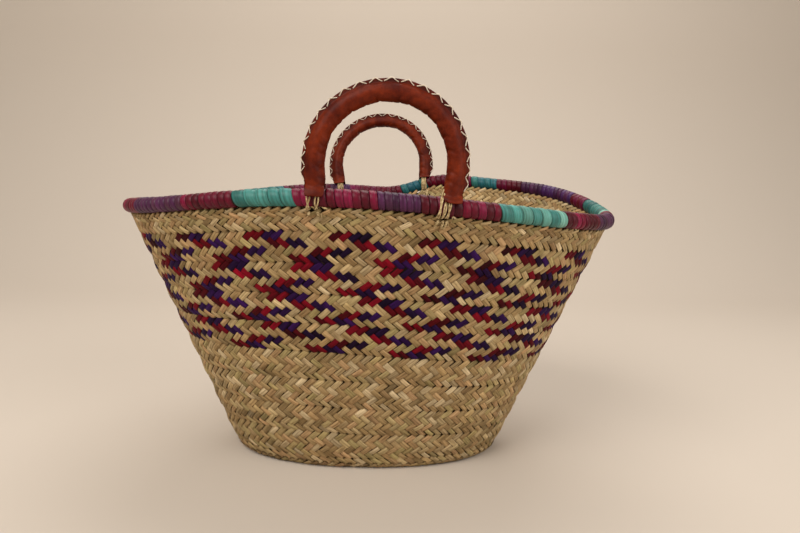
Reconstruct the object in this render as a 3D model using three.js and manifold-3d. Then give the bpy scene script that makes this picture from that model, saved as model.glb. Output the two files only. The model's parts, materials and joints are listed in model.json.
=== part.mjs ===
// Straw market basket: a plaited palm-leaf strip sewn edge to edge into an oval bag,
// a rope rim bound with dyed palm strips, and two leather handles lashed to the rim.
// Millimetres, +Z up. The origin is the middle of the base, on the ground. The long way
// of the oval runs along X, and the front handle stands on the -Y side.

import * as THREE from "three";
import { mergeVertices } from "three/addons/utils/BufferGeometryUtils.js";
import Module from "manifold-3d";

const wasm = await Module();
wasm.setup();

// Bag
const RIM_HALF_WIDTH = 291; // centre line of the rim rope, long way
const RIM_HALF_DEPTH = 198; // centre line of the rim rope, short way
const RIM_HEIGHT = 315.3; // centre line of the rim rope over the ground, before its waves
const BASE_HALF_WIDTH = 163;
const BASE_HALF_DEPTH = 90;
const OVAL_SQUARENESS = 2.1; // 2 is an ellipse, and more is squarer
const WALL = 4; // thickness of the plaited strip
const BASE_CORNER = 10; // reach of the rounded corner between base and wall
const BASE_TURN = 12; // part of the lowest course that lies under the bag
const BASE_RING = 36; // width of the flat ring inside it

// Rise of the rim as waves round the oval, one pair of cosine and sine for each wave count
const RIM_WAVES = [
  [4, 8.1],
  [-10.4, 7.7],
  [-1.1, 3.4],
  [0, 0.8],
  [-1.3, -0.2],
];

// Step in the back of the rim, where the spiral strip runs out
const STEP_RISE = 12.9;
const STEP_X = 65;
const STEP_WIDTH = 40;
const STEP_REACH = 93;

// Turns of the strip from the ground up, each measured in rows of the plait. Every turn has
// four rows, a little taller in the lower turns. Most of the lowest turn lies in the corner
// of the base, and the top turn is drawn in under the rim
const COURSES = [
  { name: "base_turn_course", rows: 1.6, finish: "straw" },
  { name: "lower_course_1", rows: 4.1, finish: "straw" },
  { name: "lower_course_2", rows: 4.1, finish: "straw" },
  { name: "lower_course_3", rows: 4.1, finish: "straw" },
  { name: "lower_course_4", rows: 4.1, finish: "straw" },
  { name: "dyed_course_1", rows: 4.05, finish: "dyed" },
  { name: "dyed_course_2", rows: 4.05, finish: "dyed" },
  { name: "dyed_course_3", rows: 4.05, finish: "dyed" },
  { name: "dyed_course_4", rows: 4.05, finish: "dyed" },
  { name: "top_course", rows: 2.8, finish: "straw" },
];
const COURSE_RISE = 8; // the middle turns lie this much higher at the -X end than half way
const SEAM_CORD = 2; // cord between two courses, three-sided

// Rim
const RIM_RADIUS = 9; // outside of the binding
const BINDING = 1.4; // thickness of a bound strip at its crown
const BINDING_SPACE = 1.4; // bare space between two turns
const BAND_LEAD = 3; // turns of the first band that lie in front of the +X end
const BANDS = [
  ["turquoise", 7],
  ["magenta", 3],
  ["violet", 9],
  ["magenta", 4],
  ["turquoise", 4],
  ["magenta", 7],
  ["turquoise", 4],
  ["magenta", 8],
  ["violet", 3],
  ["magenta", 7],
  ["turquoise", 6],
  ["magenta", 6],
  ["violet", 13],
  ["magenta", 11],
  ["violet", 8],
  ["magenta", 6],
  ["turquoise", 6],
  ["magenta", 8],
  ["violet", 4],
  ["magenta", 8],
  ["turquoise", 8],
  ["magenta", 6],
  ["violet", 7],
  ["magenta", 2],
]; // colour and number of turns, from the +X end round by the back

// Handles
const FOOT_SPACING = 128; // between the two feet of a handle
const HANDLE_SHIFT = 13; // both handles stand this far to +X of the middle
const HANDLE_RISE = 102.5; // centre line of the arch over the rim rope
const FOOT_DRAW_IN = 3; // the legs close in by this much towards the feet
const SLEEVE_RADIUS = 9.4;
const LEATHER = 1.6;
const SLEEVE_SEAM = 0.8; // open line between the two edges of the leather
const LACE = 1.4; // lacing cord, square on
const LACE_STITCHES = 17;
const LACE_SPREAD = 0.6; // half angle that the lacing spans round the sleeve, in radians
const HANDLES = [
  { name: "front", isBack: false, lean: 0.05 },
  { name: "back", isBack: true, lean: -0.22 },
]; // lean of the arch from upright, towards -Y

// Lashings
const TWINE = 1.6;
const LASHING_LOOPS = 3;
const LASHING_PITCH = 2.2;
const LASHING_CLEARANCE = 1.4; // slack of the loops round the rim, so that they can turn
const LASHING_NECK = 2.2; // height of the crossed twine over the loops

const CLEARANCE = 0.3; // between neighbouring pieces

// Fineness of the solids
const BAG_COLUMNS = 44;
const RIM_COLUMNS = 108;
const TURN_STEPS = 6;
const ARCH_STEPS = 16;
const SLEEVE_SIDES = 12;
const LOOP_STEPS = 10;
const CUTTER_SIDES = 32;

const FINISHES = {
  straw: { color: 0xa58a5c, roughness: 0.8 },
  dyed: { color: 0x7c4048, roughness: 0.8 },
  cord: { color: 0x8f7648, roughness: 0.9 },
  turquoise: { color: 0x5c8f80, roughness: 0.5 },
  magenta: { color: 0x7a2a3f, roughness: 0.5 },
  violet: { color: 0x573347, roughness: 0.5 },
  leather: { color: 0x7c3a22, roughness: 0.45 },
  lace: { color: 0xd8c9ac, roughness: 0.8 },
};

const basket = new THREE.Group();
basket.name = "straw_market_basket";

function addPiece(parent, name, geometry, finish) {
  const material = new THREE.MeshStandardMaterial({ ...FINISHES[finish], metalness: 0 });
  const mesh = new THREE.Mesh(geometry, material);
  mesh.name = name;
  parent.add(mesh);
  return mesh;
}

// Solids

function signedVolume(geometry) {
  const points = geometry.getAttribute("position");
  const index = geometry.getIndex().array;
  const corner = (i) => new THREE.Vector3().fromBufferAttribute(points, index[i]);
  let volume = 0;
  for (let i = 0; i < index.length; i += 3) {
    volume += corner(i).dot(corner(i + 1).cross(corner(i + 2))) / 6;
  }
  return volume;
}

function indexedGeometry(positions, indices) {
  const geometry = new THREE.BufferGeometry();
  geometry.setAttribute("position", new THREE.Float32BufferAttribute(positions, 3));
  geometry.setIndex(indices);
  if (signedVolume(geometry) < 0) {
    geometry.setIndex([...indices].reverse());
  }
  return geometry;
}

// A closed solid through loops of points; a ring joins its last loop to its first,
// and any other run of loops is closed by a flat end
function loft(loops, isRing) {
  const count = loops[0].length;
  const indices = [];
  const spans = isRing ? loops.length : loops.length - 1;
  for (let i = 0; i < spans; i += 1) {
    const here = i * count;
    const next = ((i + 1) % loops.length) * count;
    for (let k = 0; k < count; k += 1) {
      const after = (k + 1) % count;
      indices.push(here + k, next + k, next + after);
      indices.push(here + k, next + after, here + after);
    }
  }
  if (!isRing) {
    const last = (loops.length - 1) * count;
    for (let k = 1; k < count - 1; k += 1) {
      indices.push(0, k, k + 1);
      indices.push(last, last + k + 1, last + k);
    }
  }
  const positions = loops.flat().flatMap((point) => point.toArray());
  return indexedGeometry(positions, indices);
}

// A square cord through points, with the side that faces away given for each point
function cordAlong(points, facings, thickness) {
  const half = thickness / 2;
  const loops = points.map((point, i) => {
    const before = points[Math.max(i - 1, 0)];
    const after = points[Math.min(i + 1, points.length - 1)];
    const along = after.clone().sub(before).normalize();
    const side = along.clone().cross(facings[i]).normalize();
    const up = side.clone().cross(along);
    const corner = (s, u) => point.clone().addScaledVector(side, s * half).addScaledVector(up, u * half);
    return [corner(-1, -1), corner(1, -1), corner(1, 1), corner(-1, 1)];
  });
  return loft(loops, false);
}

function toManifold(geometry) {
  const bare = geometry.clone();
  bare.deleteAttribute("normal");
  bare.deleteAttribute("uv");
  const merged = mergeVertices(bare);
  return new wasm.Manifold(
    new wasm.Mesh({
      numProp: 3,
      vertProperties: merged.getAttribute("position").array,
      triVerts: Uint32Array.from(merged.getIndex().array),
    }),
  );
}

function cutAway(geometry, cutters) {
  const solid = cutters.reduce((rest, cutter) => rest.subtract(toManifold(cutter)), toManifold(geometry));
  const mesh = solid.getMesh();
  return indexedGeometry(Array.from(mesh.vertProperties), Array.from(mesh.triVerts));
}

// Oval of the bag

function ovalPoint(halfWidth, halfDepth, angle, z) {
  const c = Math.cos(angle);
  const s = Math.sin(angle);
  const spread = Math.abs(c) ** OVAL_SQUARENESS + Math.abs(s) ** OVAL_SQUARENESS;
  const reach = spread ** (-1 / OVAL_SQUARENESS);
  return new THREE.Vector3(halfWidth * reach * c, halfDepth * reach * s, z);
}

function rimPoint(angle) {
  const point = ovalPoint(RIM_HALF_WIDTH, RIM_HALF_DEPTH, angle, RIM_HEIGHT);
  RIM_WAVES.forEach(([cosine, sine], i) => {
    point.z += cosine * Math.cos((i + 1) * angle) + sine * Math.sin((i + 1) * angle);
  });
  if (point.y > 0) {
    const past = point.x - STEP_X;
    point.z += STEP_RISE * Math.tanh(past / STEP_WIDTH) * Math.exp(-((past / STEP_REACH) ** 2));
  }
  return point;
}

class RimLine extends THREE.Curve {
  getPoint(t) {
    return rimPoint(2 * Math.PI * t);
  }
}

const rimLine = new RimLine();
rimLine.arcLengthDivisions = 2000;
const rimLength = rimLine.getLength();

function baseEdge(angle) {
  return ovalPoint(BASE_HALF_WIDTH, BASE_HALF_DEPTH, angle, WALL / 2);
}

// Centre of the rim rope at an angle, with its run, the way down the wall and the way out
function rimFrame(angle) {
  const nudge = 1e-3;
  const centre = rimPoint(angle);
  const along = rimPoint(angle + nudge).sub(rimPoint(angle - nudge)).normalize();
  const down = baseEdge(angle).sub(centre);
  down.addScaledVector(along, -down.dot(along)).normalize();
  const out = down.clone().cross(along);
  return { centre, along, down, out };
}

// Base and wall courses

const ringAngles = Array.from({ length: BAG_COLUMNS }, (_, i) => (2 * Math.PI * i) / BAG_COLUMNS);
const seamSpace = SEAM_CORD + 2 * CLEARANCE;

const wallRows = COURSES.reduce((sum, course) => sum + course.rows, 0);

function basePoint(inset, angle, z) {
  return ovalPoint(BASE_HALF_WIDTH - inset, BASE_HALF_DEPTH - inset, angle, z);
}

// Most that the rim dips under the straight lines from one column of the wall to the next
function rimDip(angle) {
  const step = (2 * Math.PI) / BAG_COLUMNS;
  const here = rimPoint(angle).z;
  const dips = [-0.75, -0.5, -0.25, 0.25, 0.5, 0.75].map((spot) => {
    const next = rimPoint(angle + Math.sign(spot) * step).z;
    return here + (next - here) * Math.abs(spot) - rimPoint(angle + spot * step).z;
  });
  return Math.max(0, ...dips);
}

// How far a turn lies off its level; base and rim keep theirs
function courseRise(share, angle) {
  return -4 * COURSE_RISE * share * (1 - share) * Math.cos(angle);
}

// Point on the wall: share of its slope from base to rim, a shift up the slope and a
// shift outwards, both in millimetres
function wallPoint(share, angle, shift, outward) {
  const { centre, down, out } = rimFrame(angle);
  const foot = baseEdge(angle);
  const seat = centre.addScaledVector(down, RIM_RADIUS + CLEARANCE + rimDip(angle));
  const slope = seat.clone().sub(foot).normalize();
  const climb = shift + courseRise(share, angle);
  return foot.lerp(seat, share).addScaledVector(slope, climb).addScaledVector(out, outward);
}

function ringOf(loopAt) {
  return loft(ringAngles.map(loopAt), true);
}

function wallCourse(low, high) {
  const lift = seamSpace / 2;
  const drop = high < 1 ? -seamSpace / 2 : 0;
  return ringOf((angle) => [
    wallPoint(low, angle, lift, WALL / 2),
    wallPoint(high, angle, drop, WALL / 2),
    wallPoint(high, angle, drop, -WALL / 2),
    wallPoint(low, angle, lift, -WALL / 2),
  ]);
}

function turnCourse(high) {
  const drop = -seamSpace / 2;
  return ringOf((angle) => {
    const underEdge = basePoint(BASE_CORNER, angle, 0);
    const wallEdge = wallPoint(0, angle, BASE_CORNER, WALL / 2);
    const corner = wallPoint(0, angle, 0, WALL / 2).setZ(0);
    const bend = corner.multiplyScalar(2).add(underEdge).add(wallEdge).divideScalar(4);
    return [
      basePoint(BASE_TURN, angle, 0),
      underEdge,
      bend,
      wallEdge,
      wallPoint(high, angle, drop, WALL / 2),
      wallPoint(high, angle, drop, -WALL / 2),
      wallPoint(0, angle, BASE_CORNER, -WALL / 2),
      basePoint(BASE_CORNER, angle, WALL),
      basePoint(BASE_TURN, angle, WALL),
    ];
  });
}

function flatRing(outerInset, innerInset) {
  return ringOf((angle) => [
    basePoint(outerInset, angle, 0),
    basePoint(outerInset, angle, WALL),
    basePoint(innerInset, angle, WALL),
    basePoint(innerInset, angle, 0),
  ]);
}

function flatOval(inset) {
  const outline = ringAngles.map((angle) => basePoint(inset, angle, 0));
  const shape = new THREE.Shape(outline.map((point) => new THREE.Vector2(point.x, point.y)));
  return new THREE.ExtrudeGeometry(shape, { depth: WALL, bevelEnabled: false });
}

function baseSeam(inset) {
  const half = SEAM_CORD / 2;
  return ringOf((angle) => [
    basePoint(inset - half, angle, WALL / 2 - half),
    basePoint(inset, angle, WALL / 2 + half),
    basePoint(inset + half, angle, WALL / 2 - half),
  ]);
}

function wallSeam(share) {
  const half = SEAM_CORD / 2;
  return ringOf((angle) => [
    wallPoint(share, angle, -half, half),
    wallPoint(share, angle, half, half),
    wallPoint(share, angle, 0, -half),
  ]);
}

// Handle feet on the rim

function rimAngleAtX(x, isBack) {
  let low = isBack ? 0 : -Math.PI;
  let high = isBack ? Math.PI : 0;
  const isRising = !isBack;
  for (let i = 0; i < 60; i += 1) {
    const middle = (low + high) / 2;
    if (rimPoint(middle).x < x === isRising) {
      low = middle;
    } else {
      high = middle;
    }
  }
  return low;
}

// A group whose X runs from the left foot to the right one and whose Z is the arch's height
function handleGroup({ name, isBack, lean }) {
  const left = rimPoint(rimAngleAtX(HANDLE_SHIFT - FOOT_SPACING / 2, isBack));
  const right = rimPoint(rimAngleAtX(HANDLE_SHIFT + FOOT_SPACING / 2, isBack));
  const across = right.clone().sub(left).normalize();
  const depth = new THREE.Vector3(0, 0, 1).cross(across).normalize();
  const up = across.clone().cross(depth).applyAxisAngle(across, lean);
  const group = new THREE.Group();
  group.name = `${name}_handle`;
  group.position.copy(left).add(right).divideScalar(2);
  group.quaternion.setFromRotationMatrix(
    new THREE.Matrix4().makeBasis(across, up.clone().cross(across), up),
  );
  group.updateMatrix();
  group.userData.footHalf = left.distanceTo(right) / 2;
  return group;
}

const handleGroups = HANDLES.map(handleGroup);
const loopRadius = RIM_RADIUS + LASHING_CLEARANCE + TWINE / 2;
const swingRadius = loopRadius + TWINE / 2 + CLEARANCE;
const lashingHalf = ((LASHING_LOOPS - 1) * LASHING_PITCH + TWINE) / 2;

function barAlongX(radius, length) {
  return new THREE.CylinderGeometry(radius, radius, length, CUTTER_SIDES).rotateZ(Math.PI / 2);
}

// Openings under the rim that the lashings turn in
function lashingNotches() {
  return handleGroups.flatMap((group) =>
    [-1, 1].map((side) =>
      barAlongX(swingRadius, 2 * (lashingHalf + 2 * CLEARANCE))
        .translate(side * group.userData.footHalf, 0, 0)
        .applyMatrix4(group.matrix),
    ),
  );
}

// Bag

const innerInset = BASE_TURN + seamSpace + BASE_RING;
addPiece(basket, "base_centre_strip", flatOval(innerInset + seamSpace), "straw");
addPiece(basket, "base_ring", flatRing(BASE_TURN + seamSpace, innerInset), "straw");
addPiece(basket, "base_seam_cord_1", baseSeam(innerInset + seamSpace / 2), "cord");
addPiece(basket, "base_seam_cord_2", baseSeam(BASE_TURN + seamSpace / 2), "cord");

let rowsBelow = 0;
COURSES.forEach(({ name, rows, finish }, i) => {
  const low = rowsBelow / wallRows;
  rowsBelow += rows;
  const high = rowsBelow / wallRows;
  const isTop = i === COURSES.length - 1;
  const plain = i === 0 ? turnCourse(high) : wallCourse(low, high);
  addPiece(basket, name, isTop ? cutAway(plain, lashingNotches()) : plain, finish);
  if (!isTop) {
    addPiece(basket, `wall_seam_cord_${i + 1}`, wallSeam(high), "cord");
  }
});

// Rim

const bindingInside = RIM_RADIUS - BINDING;
const ropeRadius = bindingInside - 3 * CLEARANCE;
const totalTurns = BANDS.reduce((sum, [, turns]) => sum + turns, 0);
const turnPitch = rimLength / totalTurns;
const stripHalf = (turnPitch - BINDING_SPACE) / 2;

function aroundRim(frame, turn, radius) {
  return frame.centre
    .clone()
    .addScaledVector(frame.down, radius * Math.cos(turn))
    .addScaledVector(frame.out, radius * Math.sin(turn));
}

function rimRope() {
  const loops = Array.from({ length: RIM_COLUMNS }, (_, i) => {
    const frame = rimFrame((2 * Math.PI * i) / RIM_COLUMNS);
    return Array.from({ length: TURN_STEPS }, (__, k) =>
      aroundRim(frame, (2 * Math.PI * k) / TURN_STEPS, ropeRadius),
    );
  });
  return loft(loops, true);
}

// Section of the bound strip after a number of turns: two edges on the rope and a crown
function stripSection(turns) {
  const share = (1 + turns / totalTurns) % 1;
  const frame = rimFrame(2 * Math.PI * rimLine.getUtoTmapping(share));
  const turn = -2 * Math.PI * turns;
  const edge = aroundRim(frame, turn, bindingInside);
  return [
    edge.clone().addScaledVector(frame.along, -stripHalf),
    edge.clone().addScaledVector(frame.along, stripHalf),
    aroundRim(frame, turn, RIM_RADIUS),
  ];
}

let leastBindingGap = Infinity;

function boundStrip(firstTurn, turns) {
  const cut = CLEARANCE / (2 * Math.PI * bindingInside);
  const steps = turns * TURN_STEPS;
  const loops = Array.from({ length: steps + 1 }, (_, i) => {
    const inset = i === 0 ? cut : i === steps ? -cut : 0;
    return stripSection(firstTurn + i / TURN_STEPS + inset);
  });
  for (let i = TURN_STEPS; i <= steps; i += 1) {
    const gap = loops[i - TURN_STEPS][1].distanceTo(loops[i][0]);
    leastBindingGap = Math.min(leastBindingGap, gap);
  }
  return loft(loops, false);
}

addPiece(basket, "rim_core", rimRope(), "cord");
let turnsBefore = -BAND_LEAD;
BANDS.forEach(([colour, turns], i) => {
  const number = String(i + 1).padStart(2, "0");
  addPiece(basket, `rim_band_${number}_${colour}`, boundStrip(turnsBefore, turns), colour);
  turnsBefore += turns;
});
console.log(`least gap between turns of the rim binding: ${leastBindingGap.toFixed(2)} mm`);

// Handles

const crossingHeight = loopRadius + LASHING_NECK;
const coreStart = crossingHeight + 2 * TWINE;
const boreRadius = SLEEVE_RADIUS - LEATHER;

// Centre line of a handle: two legs that close in towards the feet and a half circle
class ArchLine extends THREE.Curve {
  constructor(footHalf, start) {
    super();
    this.radius = footHalf + FOOT_DRAW_IN;
    this.springLine = HANDLE_RISE - this.radius;
    this.start = start;
    this.leg = this.springLine - start;
    this.total = 2 * this.leg + Math.PI * this.radius;
  }

  legPoint(side, height) {
    const below = (this.springLine - height) / this.springLine;
    return new THREE.Vector3(side * (this.radius - FOOT_DRAW_IN * below ** 2), 0, height);
  }

  getPoint(t) {
    const run = t * this.total;
    if (run < this.leg) {
      return this.legPoint(-1, this.start + run);
    }
    if (run > this.total - this.leg) {
      return this.legPoint(1, this.start + this.total - run);
    }
    const turn = (run - this.leg) / this.radius;
    const x = -this.radius * Math.cos(turn);
    return new THREE.Vector3(x, 0, this.springLine + this.radius * Math.sin(turn));
  }

  outward(t) {
    const tangent = this.getTangent(t);
    return new THREE.Vector3(-tangent.z, 0, tangent.x);
  }
}

function circlePoints(radius, from, to, sides) {
  return Array.from({ length: sides + 1 }, (_, i) => {
    const angle = from + ((to - from) * i) / sides;
    return new THREE.Vector2(radius * Math.cos(angle), radius * Math.sin(angle));
  });
}

function sweep(shape, path) {
  return new THREE.ExtrudeGeometry(shape, {
    steps: ARCH_STEPS,
    extrudePath: path,
    bevelEnabled: false,
  });
}

// Leather tube, open along its outer ridge and hollowed at the feet to sit over the rim
function handleSleeve(footHalf) {
  const path = new ArchLine(footHalf, 0);
  const binormal = path.computeFrenetFrames(1).binormals[0];
  const ridge = (Math.sign(binormal.dot(path.outward(0))) * Math.PI) / 2;
  const halfSeam = SLEEVE_SEAM / 2 / SLEEVE_RADIUS;
  const from = ridge + halfSeam;
  const to = ridge + 2 * Math.PI - halfSeam;
  const outer = circlePoints(SLEEVE_RADIUS, from, to, SLEEVE_SIDES);
  const inner = circlePoints(boreRadius, to, from, SLEEVE_SIDES);
  const tube = sweep(new THREE.Shape([...outer, ...inner]), path);
  return cutAway(tube, [barAlongX(swingRadius, 4 * footHalf)]);
}

// Rope inside the sleeve, clear of the flats of its bore and of its bends
function handleCore(footHalf) {
  const path = new ArchLine(footHalf, coreStart);
  const bendDepth = (path.total / ARCH_STEPS) ** 2 / (8 * path.radius);
  const radius = boreRadius * Math.cos(Math.PI / SLEEVE_SIDES) - CLEARANCE - bendDepth;
  const circle = circlePoints(radius, 0, 2 * Math.PI, SLEEVE_SIDES);
  return sweep(new THREE.Shape(circle.slice(0, -1)), path);
}

// Cord laced to and fro over the ridge of the sleeve
function handleLacing(footHalf) {
  const path = new ArchLine(footHalf, coreStart);
  const lift = (SLEEVE_RADIUS + CLEARANCE + LACE / 2) / Math.cos(LACE_SPREAD / 2);
  const places = 4 * LACE_STITCHES;
  const points = [];
  const facings = [];
  for (let i = 0; i <= places; i += 1) {
    const tilt = LACE_SPREAD * [-1, 0, 1, 0][i % 4];
    const t = i / places;
    const facing = path.outward(t).multiplyScalar(Math.cos(tilt));
    facing.y = Math.sin(tilt);
    facings.push(facing);
    points.push(path.getPoint(t).addScaledVector(facing, lift));
  }
  return cordAlong(points, facings, LACE);
}

// Twine from the core's end round the rim and back, loop beside loop in one length
function lashingRoute() {
  const neckHalf = LASHING_PITCH;
  const bearing = Math.atan2(crossingHeight, neckHalf);
  const leave = bearing - Math.acos(loopRadius / Math.hypot(neckHalf, crossingHeight));
  const sweepAngle = Math.PI + 2 * leave;
  const end = coreStart - CLEARANCE;
  const loops = [];
  for (let loop = 0; loop < LASHING_LOOPS; loop += 1) {
    const x = (loop - (LASHING_LOOPS - 1) / 2) * LASHING_PITCH;
    const route = [new THREE.Vector3(x, neckHalf, crossingHeight)];
    for (let i = 0; i <= LOOP_STEPS; i += 1) {
      const angle = leave - (sweepAngle * i) / LOOP_STEPS;
      route.push(new THREE.Vector3(x, loopRadius * Math.cos(angle), loopRadius * Math.sin(angle)));
    }
    route.push(new THREE.Vector3(x, -neckHalf, crossingHeight));
    loops.push(route);
  }
  loops[0].unshift(loops[0][0].clone().setZ(end));
  loops.at(-1).push(loops.at(-1).at(-1).clone().setZ(end));
  return loops;
}

const lashingLoops = lashingRoute();
let leastLashingGap = Infinity;
lashingLoops.slice(1).forEach((loop, i) => {
  for (const point of loop) {
    for (const other of lashingLoops[i]) {
      leastLashingGap = Math.min(leastLashingGap, point.distanceTo(other) - TWINE);
    }
  }
});
console.log(`least gap between loops of a lashing: ${leastLashingGap.toFixed(2)} mm`);

function handleLashing() {
  const points = lashingLoops.flat();
  const sideways = new THREE.Vector3(1, 0, 0);
  const facings = points.map((point, i) => {
    const before = points[Math.max(i - 1, 0)];
    const after = points[Math.min(i + 1, points.length - 1)];
    return sideways.clone().cross(after.clone().sub(before)).normalize();
  });
  return cordAlong(points, facings, TWINE);
}

handleGroups.forEach((group, i) => {
  const { name } = HANDLES[i];
  const { footHalf } = group.userData;
  basket.add(group);
  addPiece(group, `${name}_handle_core`, handleCore(footHalf), "cord");
  addPiece(group, `${name}_handle_sleeve`, handleSleeve(footHalf), "leather");
  addPiece(group, `${name}_handle_lacing`, handleLacing(footHalf), "lace");
  addPiece(group, `${name}_left_lashing`, handleLashing(), "cord").position.x = -footHalf;
  addPiece(group, `${name}_right_lashing`, handleLashing(), "cord").position.x = footHalf;
});

export default basket;
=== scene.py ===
"""Looks of a plaited palm-leaf market basket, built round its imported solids.

The bag is one strip of nine strands, plaited over two and under two and sewn in turns.
Its rim is a rope bound with dyed strips, and two laced leather handles are lashed to it.
Lengths are in metres. The front handle stands on the -Y side.
"""

import json
import logging
import math
from dataclasses import dataclass, field, fields
from enum import Enum

import bpy
import numpy as np
from mathutils import Matrix, Vector

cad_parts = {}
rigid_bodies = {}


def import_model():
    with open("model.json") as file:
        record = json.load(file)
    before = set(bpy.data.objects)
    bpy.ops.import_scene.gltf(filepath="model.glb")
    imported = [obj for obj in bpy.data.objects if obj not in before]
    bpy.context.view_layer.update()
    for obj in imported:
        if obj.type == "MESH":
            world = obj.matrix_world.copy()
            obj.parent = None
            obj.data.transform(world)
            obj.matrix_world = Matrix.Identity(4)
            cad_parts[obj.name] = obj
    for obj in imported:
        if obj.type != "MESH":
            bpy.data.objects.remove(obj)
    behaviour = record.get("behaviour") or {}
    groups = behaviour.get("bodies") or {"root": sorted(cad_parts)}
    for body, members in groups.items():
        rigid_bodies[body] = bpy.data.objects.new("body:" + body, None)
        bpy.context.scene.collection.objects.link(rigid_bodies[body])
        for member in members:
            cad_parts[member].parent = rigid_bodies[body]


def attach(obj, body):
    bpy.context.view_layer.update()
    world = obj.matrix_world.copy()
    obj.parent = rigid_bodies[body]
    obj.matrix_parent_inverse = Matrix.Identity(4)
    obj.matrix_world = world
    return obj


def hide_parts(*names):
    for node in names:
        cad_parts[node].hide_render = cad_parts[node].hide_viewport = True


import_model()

LOG = logging.getLogger("basket")
SEED = 20
MM = 0.001
VEIN_SPREAD = 40.0
FULL_TURN = 2 * math.pi
FINE_TURN = np.linspace(0, FULL_TURN, 2881)
ROUGH_TURN = np.linspace(0, FULL_TURN, 721)
WHITE = (1, 1, 1, 1)
ROPE_SIDES, CORD_SIDES, FIBRE_SIDES = 12, 6, 5
START_SIDE = (0.31, 0.52, 0.79)
LAST_PICK = 0.9999

# Numbers that keep the random draws of the pieces apart
CENTRE_DRAWS, RIM_DRAWS, LACE_DRAWS, LASHING_DRAWS, TAIL_DRAWS = 7, 3, 5, 11, 31

Array = np.ndarray
Faces = list[tuple[int, ...]]
Solid = tuple[Array, Faces]
Material = bpy.types.Material
Object = bpy.types.Object
Socket = bpy.types.NodeSocket
Rng = np.random.Generator


# Helpers


def srgb(*screen: int) -> tuple[float, ...]:
    """Linear colour, with a full fourth channel, of three screen channels from 0 to 255."""
    shares = np.array(screen) / 255
    return (*np.where(shares <= 0.04045, shares / 12.92, ((shares + 0.055) / 1.055) ** 2.4).tolist(), 1.0)


def unit(vectors: Array) -> Array:
    """Vectors of length one, along the last axis."""
    return vectors / np.linalg.norm(vectors, axis=-1, keepdims=True)


def smooth_step(low: float, high: float, values: Array) -> Array:
    """Smooth rise from 0 at low to 1 at high."""
    share = np.clip((values - low) / (high - low), 0, 1)
    return share * share * (3 - 2 * share)


def lengths(line: Array) -> Array:
    """Length along a line of points, up to each of them."""
    return np.concatenate([[0], np.cumsum(np.linalg.norm(np.diff(line, axis=0), axis=1))])


def waves(values: Array, seed: int, counts: tuple[float, ...]) -> Array:
    """Smooth seeded wobble between about -1 and 1.

    Args:
        values: Where to read it.
        seed: Which wobble.
        counts: Waves per unit of the values, one for each layer.

    Returns:
        The wobble at each value.
    """
    phases = np.random.default_rng(seed).uniform(0, FULL_TURN, len(counts))
    total = sum(np.sin(FULL_TURN * c * values + p) for c, p in zip(counts, phases))
    return total / math.sqrt(len(counts))


def vein_starts(rng: Rng, count: int) -> Array:
    """Where each of some leaves reads its veins, so that no two look alike."""
    return np.stack([*(rng.uniform(0, VEIN_SPREAD, count) for _ in "xy"), np.zeros(count)], 1)


def grid_faces(columns: int, rows: int, is_ring: bool = False, is_tube: bool = False) -> Faces:
    """Quads over a grid of points, numbered row after row.

    Args:
        columns: Points in a row.
        rows: Number of rows.
        is_ring: Whether the last row joins the first.
        is_tube: Whether the last column joins the first.

    Returns:
        Corner numbers of each quad.
    """
    faces = []
    for i in range(rows if is_ring else rows - 1):
        here, there = i * columns, (i + 1) % rows * columns
        for k in range(columns if is_tube else columns - 1):
            after = (k + 1) % columns
            faces.append((here + k, here + after, there + after, there + k))
    return faces


def sweep(path: Array, radius: float, sides: int, is_closed: bool = False) -> Solid:
    """A round tube along a path.

    Args:
        path: Points of the centre line.
        radius: Radius of the tube.
        sides: Number of sides.
        is_closed: Whether the path is a loop.

    Returns:
        Corner positions and faces.
    """
    ahead = np.roll(path, -1, 0) - np.roll(path, 1, 0) if is_closed else np.gradient(path, axis=0)
    turns = FULL_TURN * np.arange(sides)[:, None] / sides
    side = np.array(START_SIDE)
    points = []
    for number, (at, along) in enumerate(zip(path, unit(ahead))):
        side = np.cross(along, side) if number == 0 else side
        side = unit(side - along * (side @ along))
        points.append(at + radius * (np.cos(turns) * side + np.sin(turns) * np.cross(along, side)))
    faces = grid_faces(sides, len(path), is_closed, True)
    if not is_closed:
        last = (len(path) - 1) * sides
        faces += [tuple(reversed(range(sides))), tuple(range(last, last + sides))]
    return np.concatenate(points), faces


def join_parts(parts: list[Solid]) -> Solid:
    """Several point and face lists as one.

    Args:
        parts: Corner positions and faces of each.

    Returns:
        Corner positions and faces of all.
    """
    faces, start = [], 0
    for part_points, part_faces in parts:
        faces += [tuple(start + i for i in face) for face in part_faces]
        start += len(part_points)
    return np.concatenate([part_points for part_points, _ in parts]), faces


def smooth_mesh(name: str, points: Array, faces: Faces) -> bpy.types.Mesh:
    """A mesh with smooth faces.

    Args:
        name: Mesh name.
        points: Corner positions.
        faces: Corner numbers of each face.

    Returns:
        The new mesh.
    """
    mesh = bpy.data.meshes.new(name)
    mesh.from_pydata(points.tolist(), [], faces)
    mesh.polygons.foreach_set("use_smooth", [True] * len(faces))
    return mesh


def add_object(name: str, data: bpy.types.ID) -> Object:
    """A new object at the origin, linked into the scene."""
    bpy.context.scene.collection.objects.link(made := bpy.data.objects.new(name, data))
    return made


def add_mesh(name: str, solid: Solid, material: Material) -> Object:
    """A smooth mesh object at the origin.

    Args:
        name: Object name.
        solid: Corner positions and faces.
        material: Its material.

    Returns:
        The new object, linked into the scene.
    """
    mesh = smooth_mesh(name, *solid)
    mesh.materials.append(material)
    return add_object(name, mesh)


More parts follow.
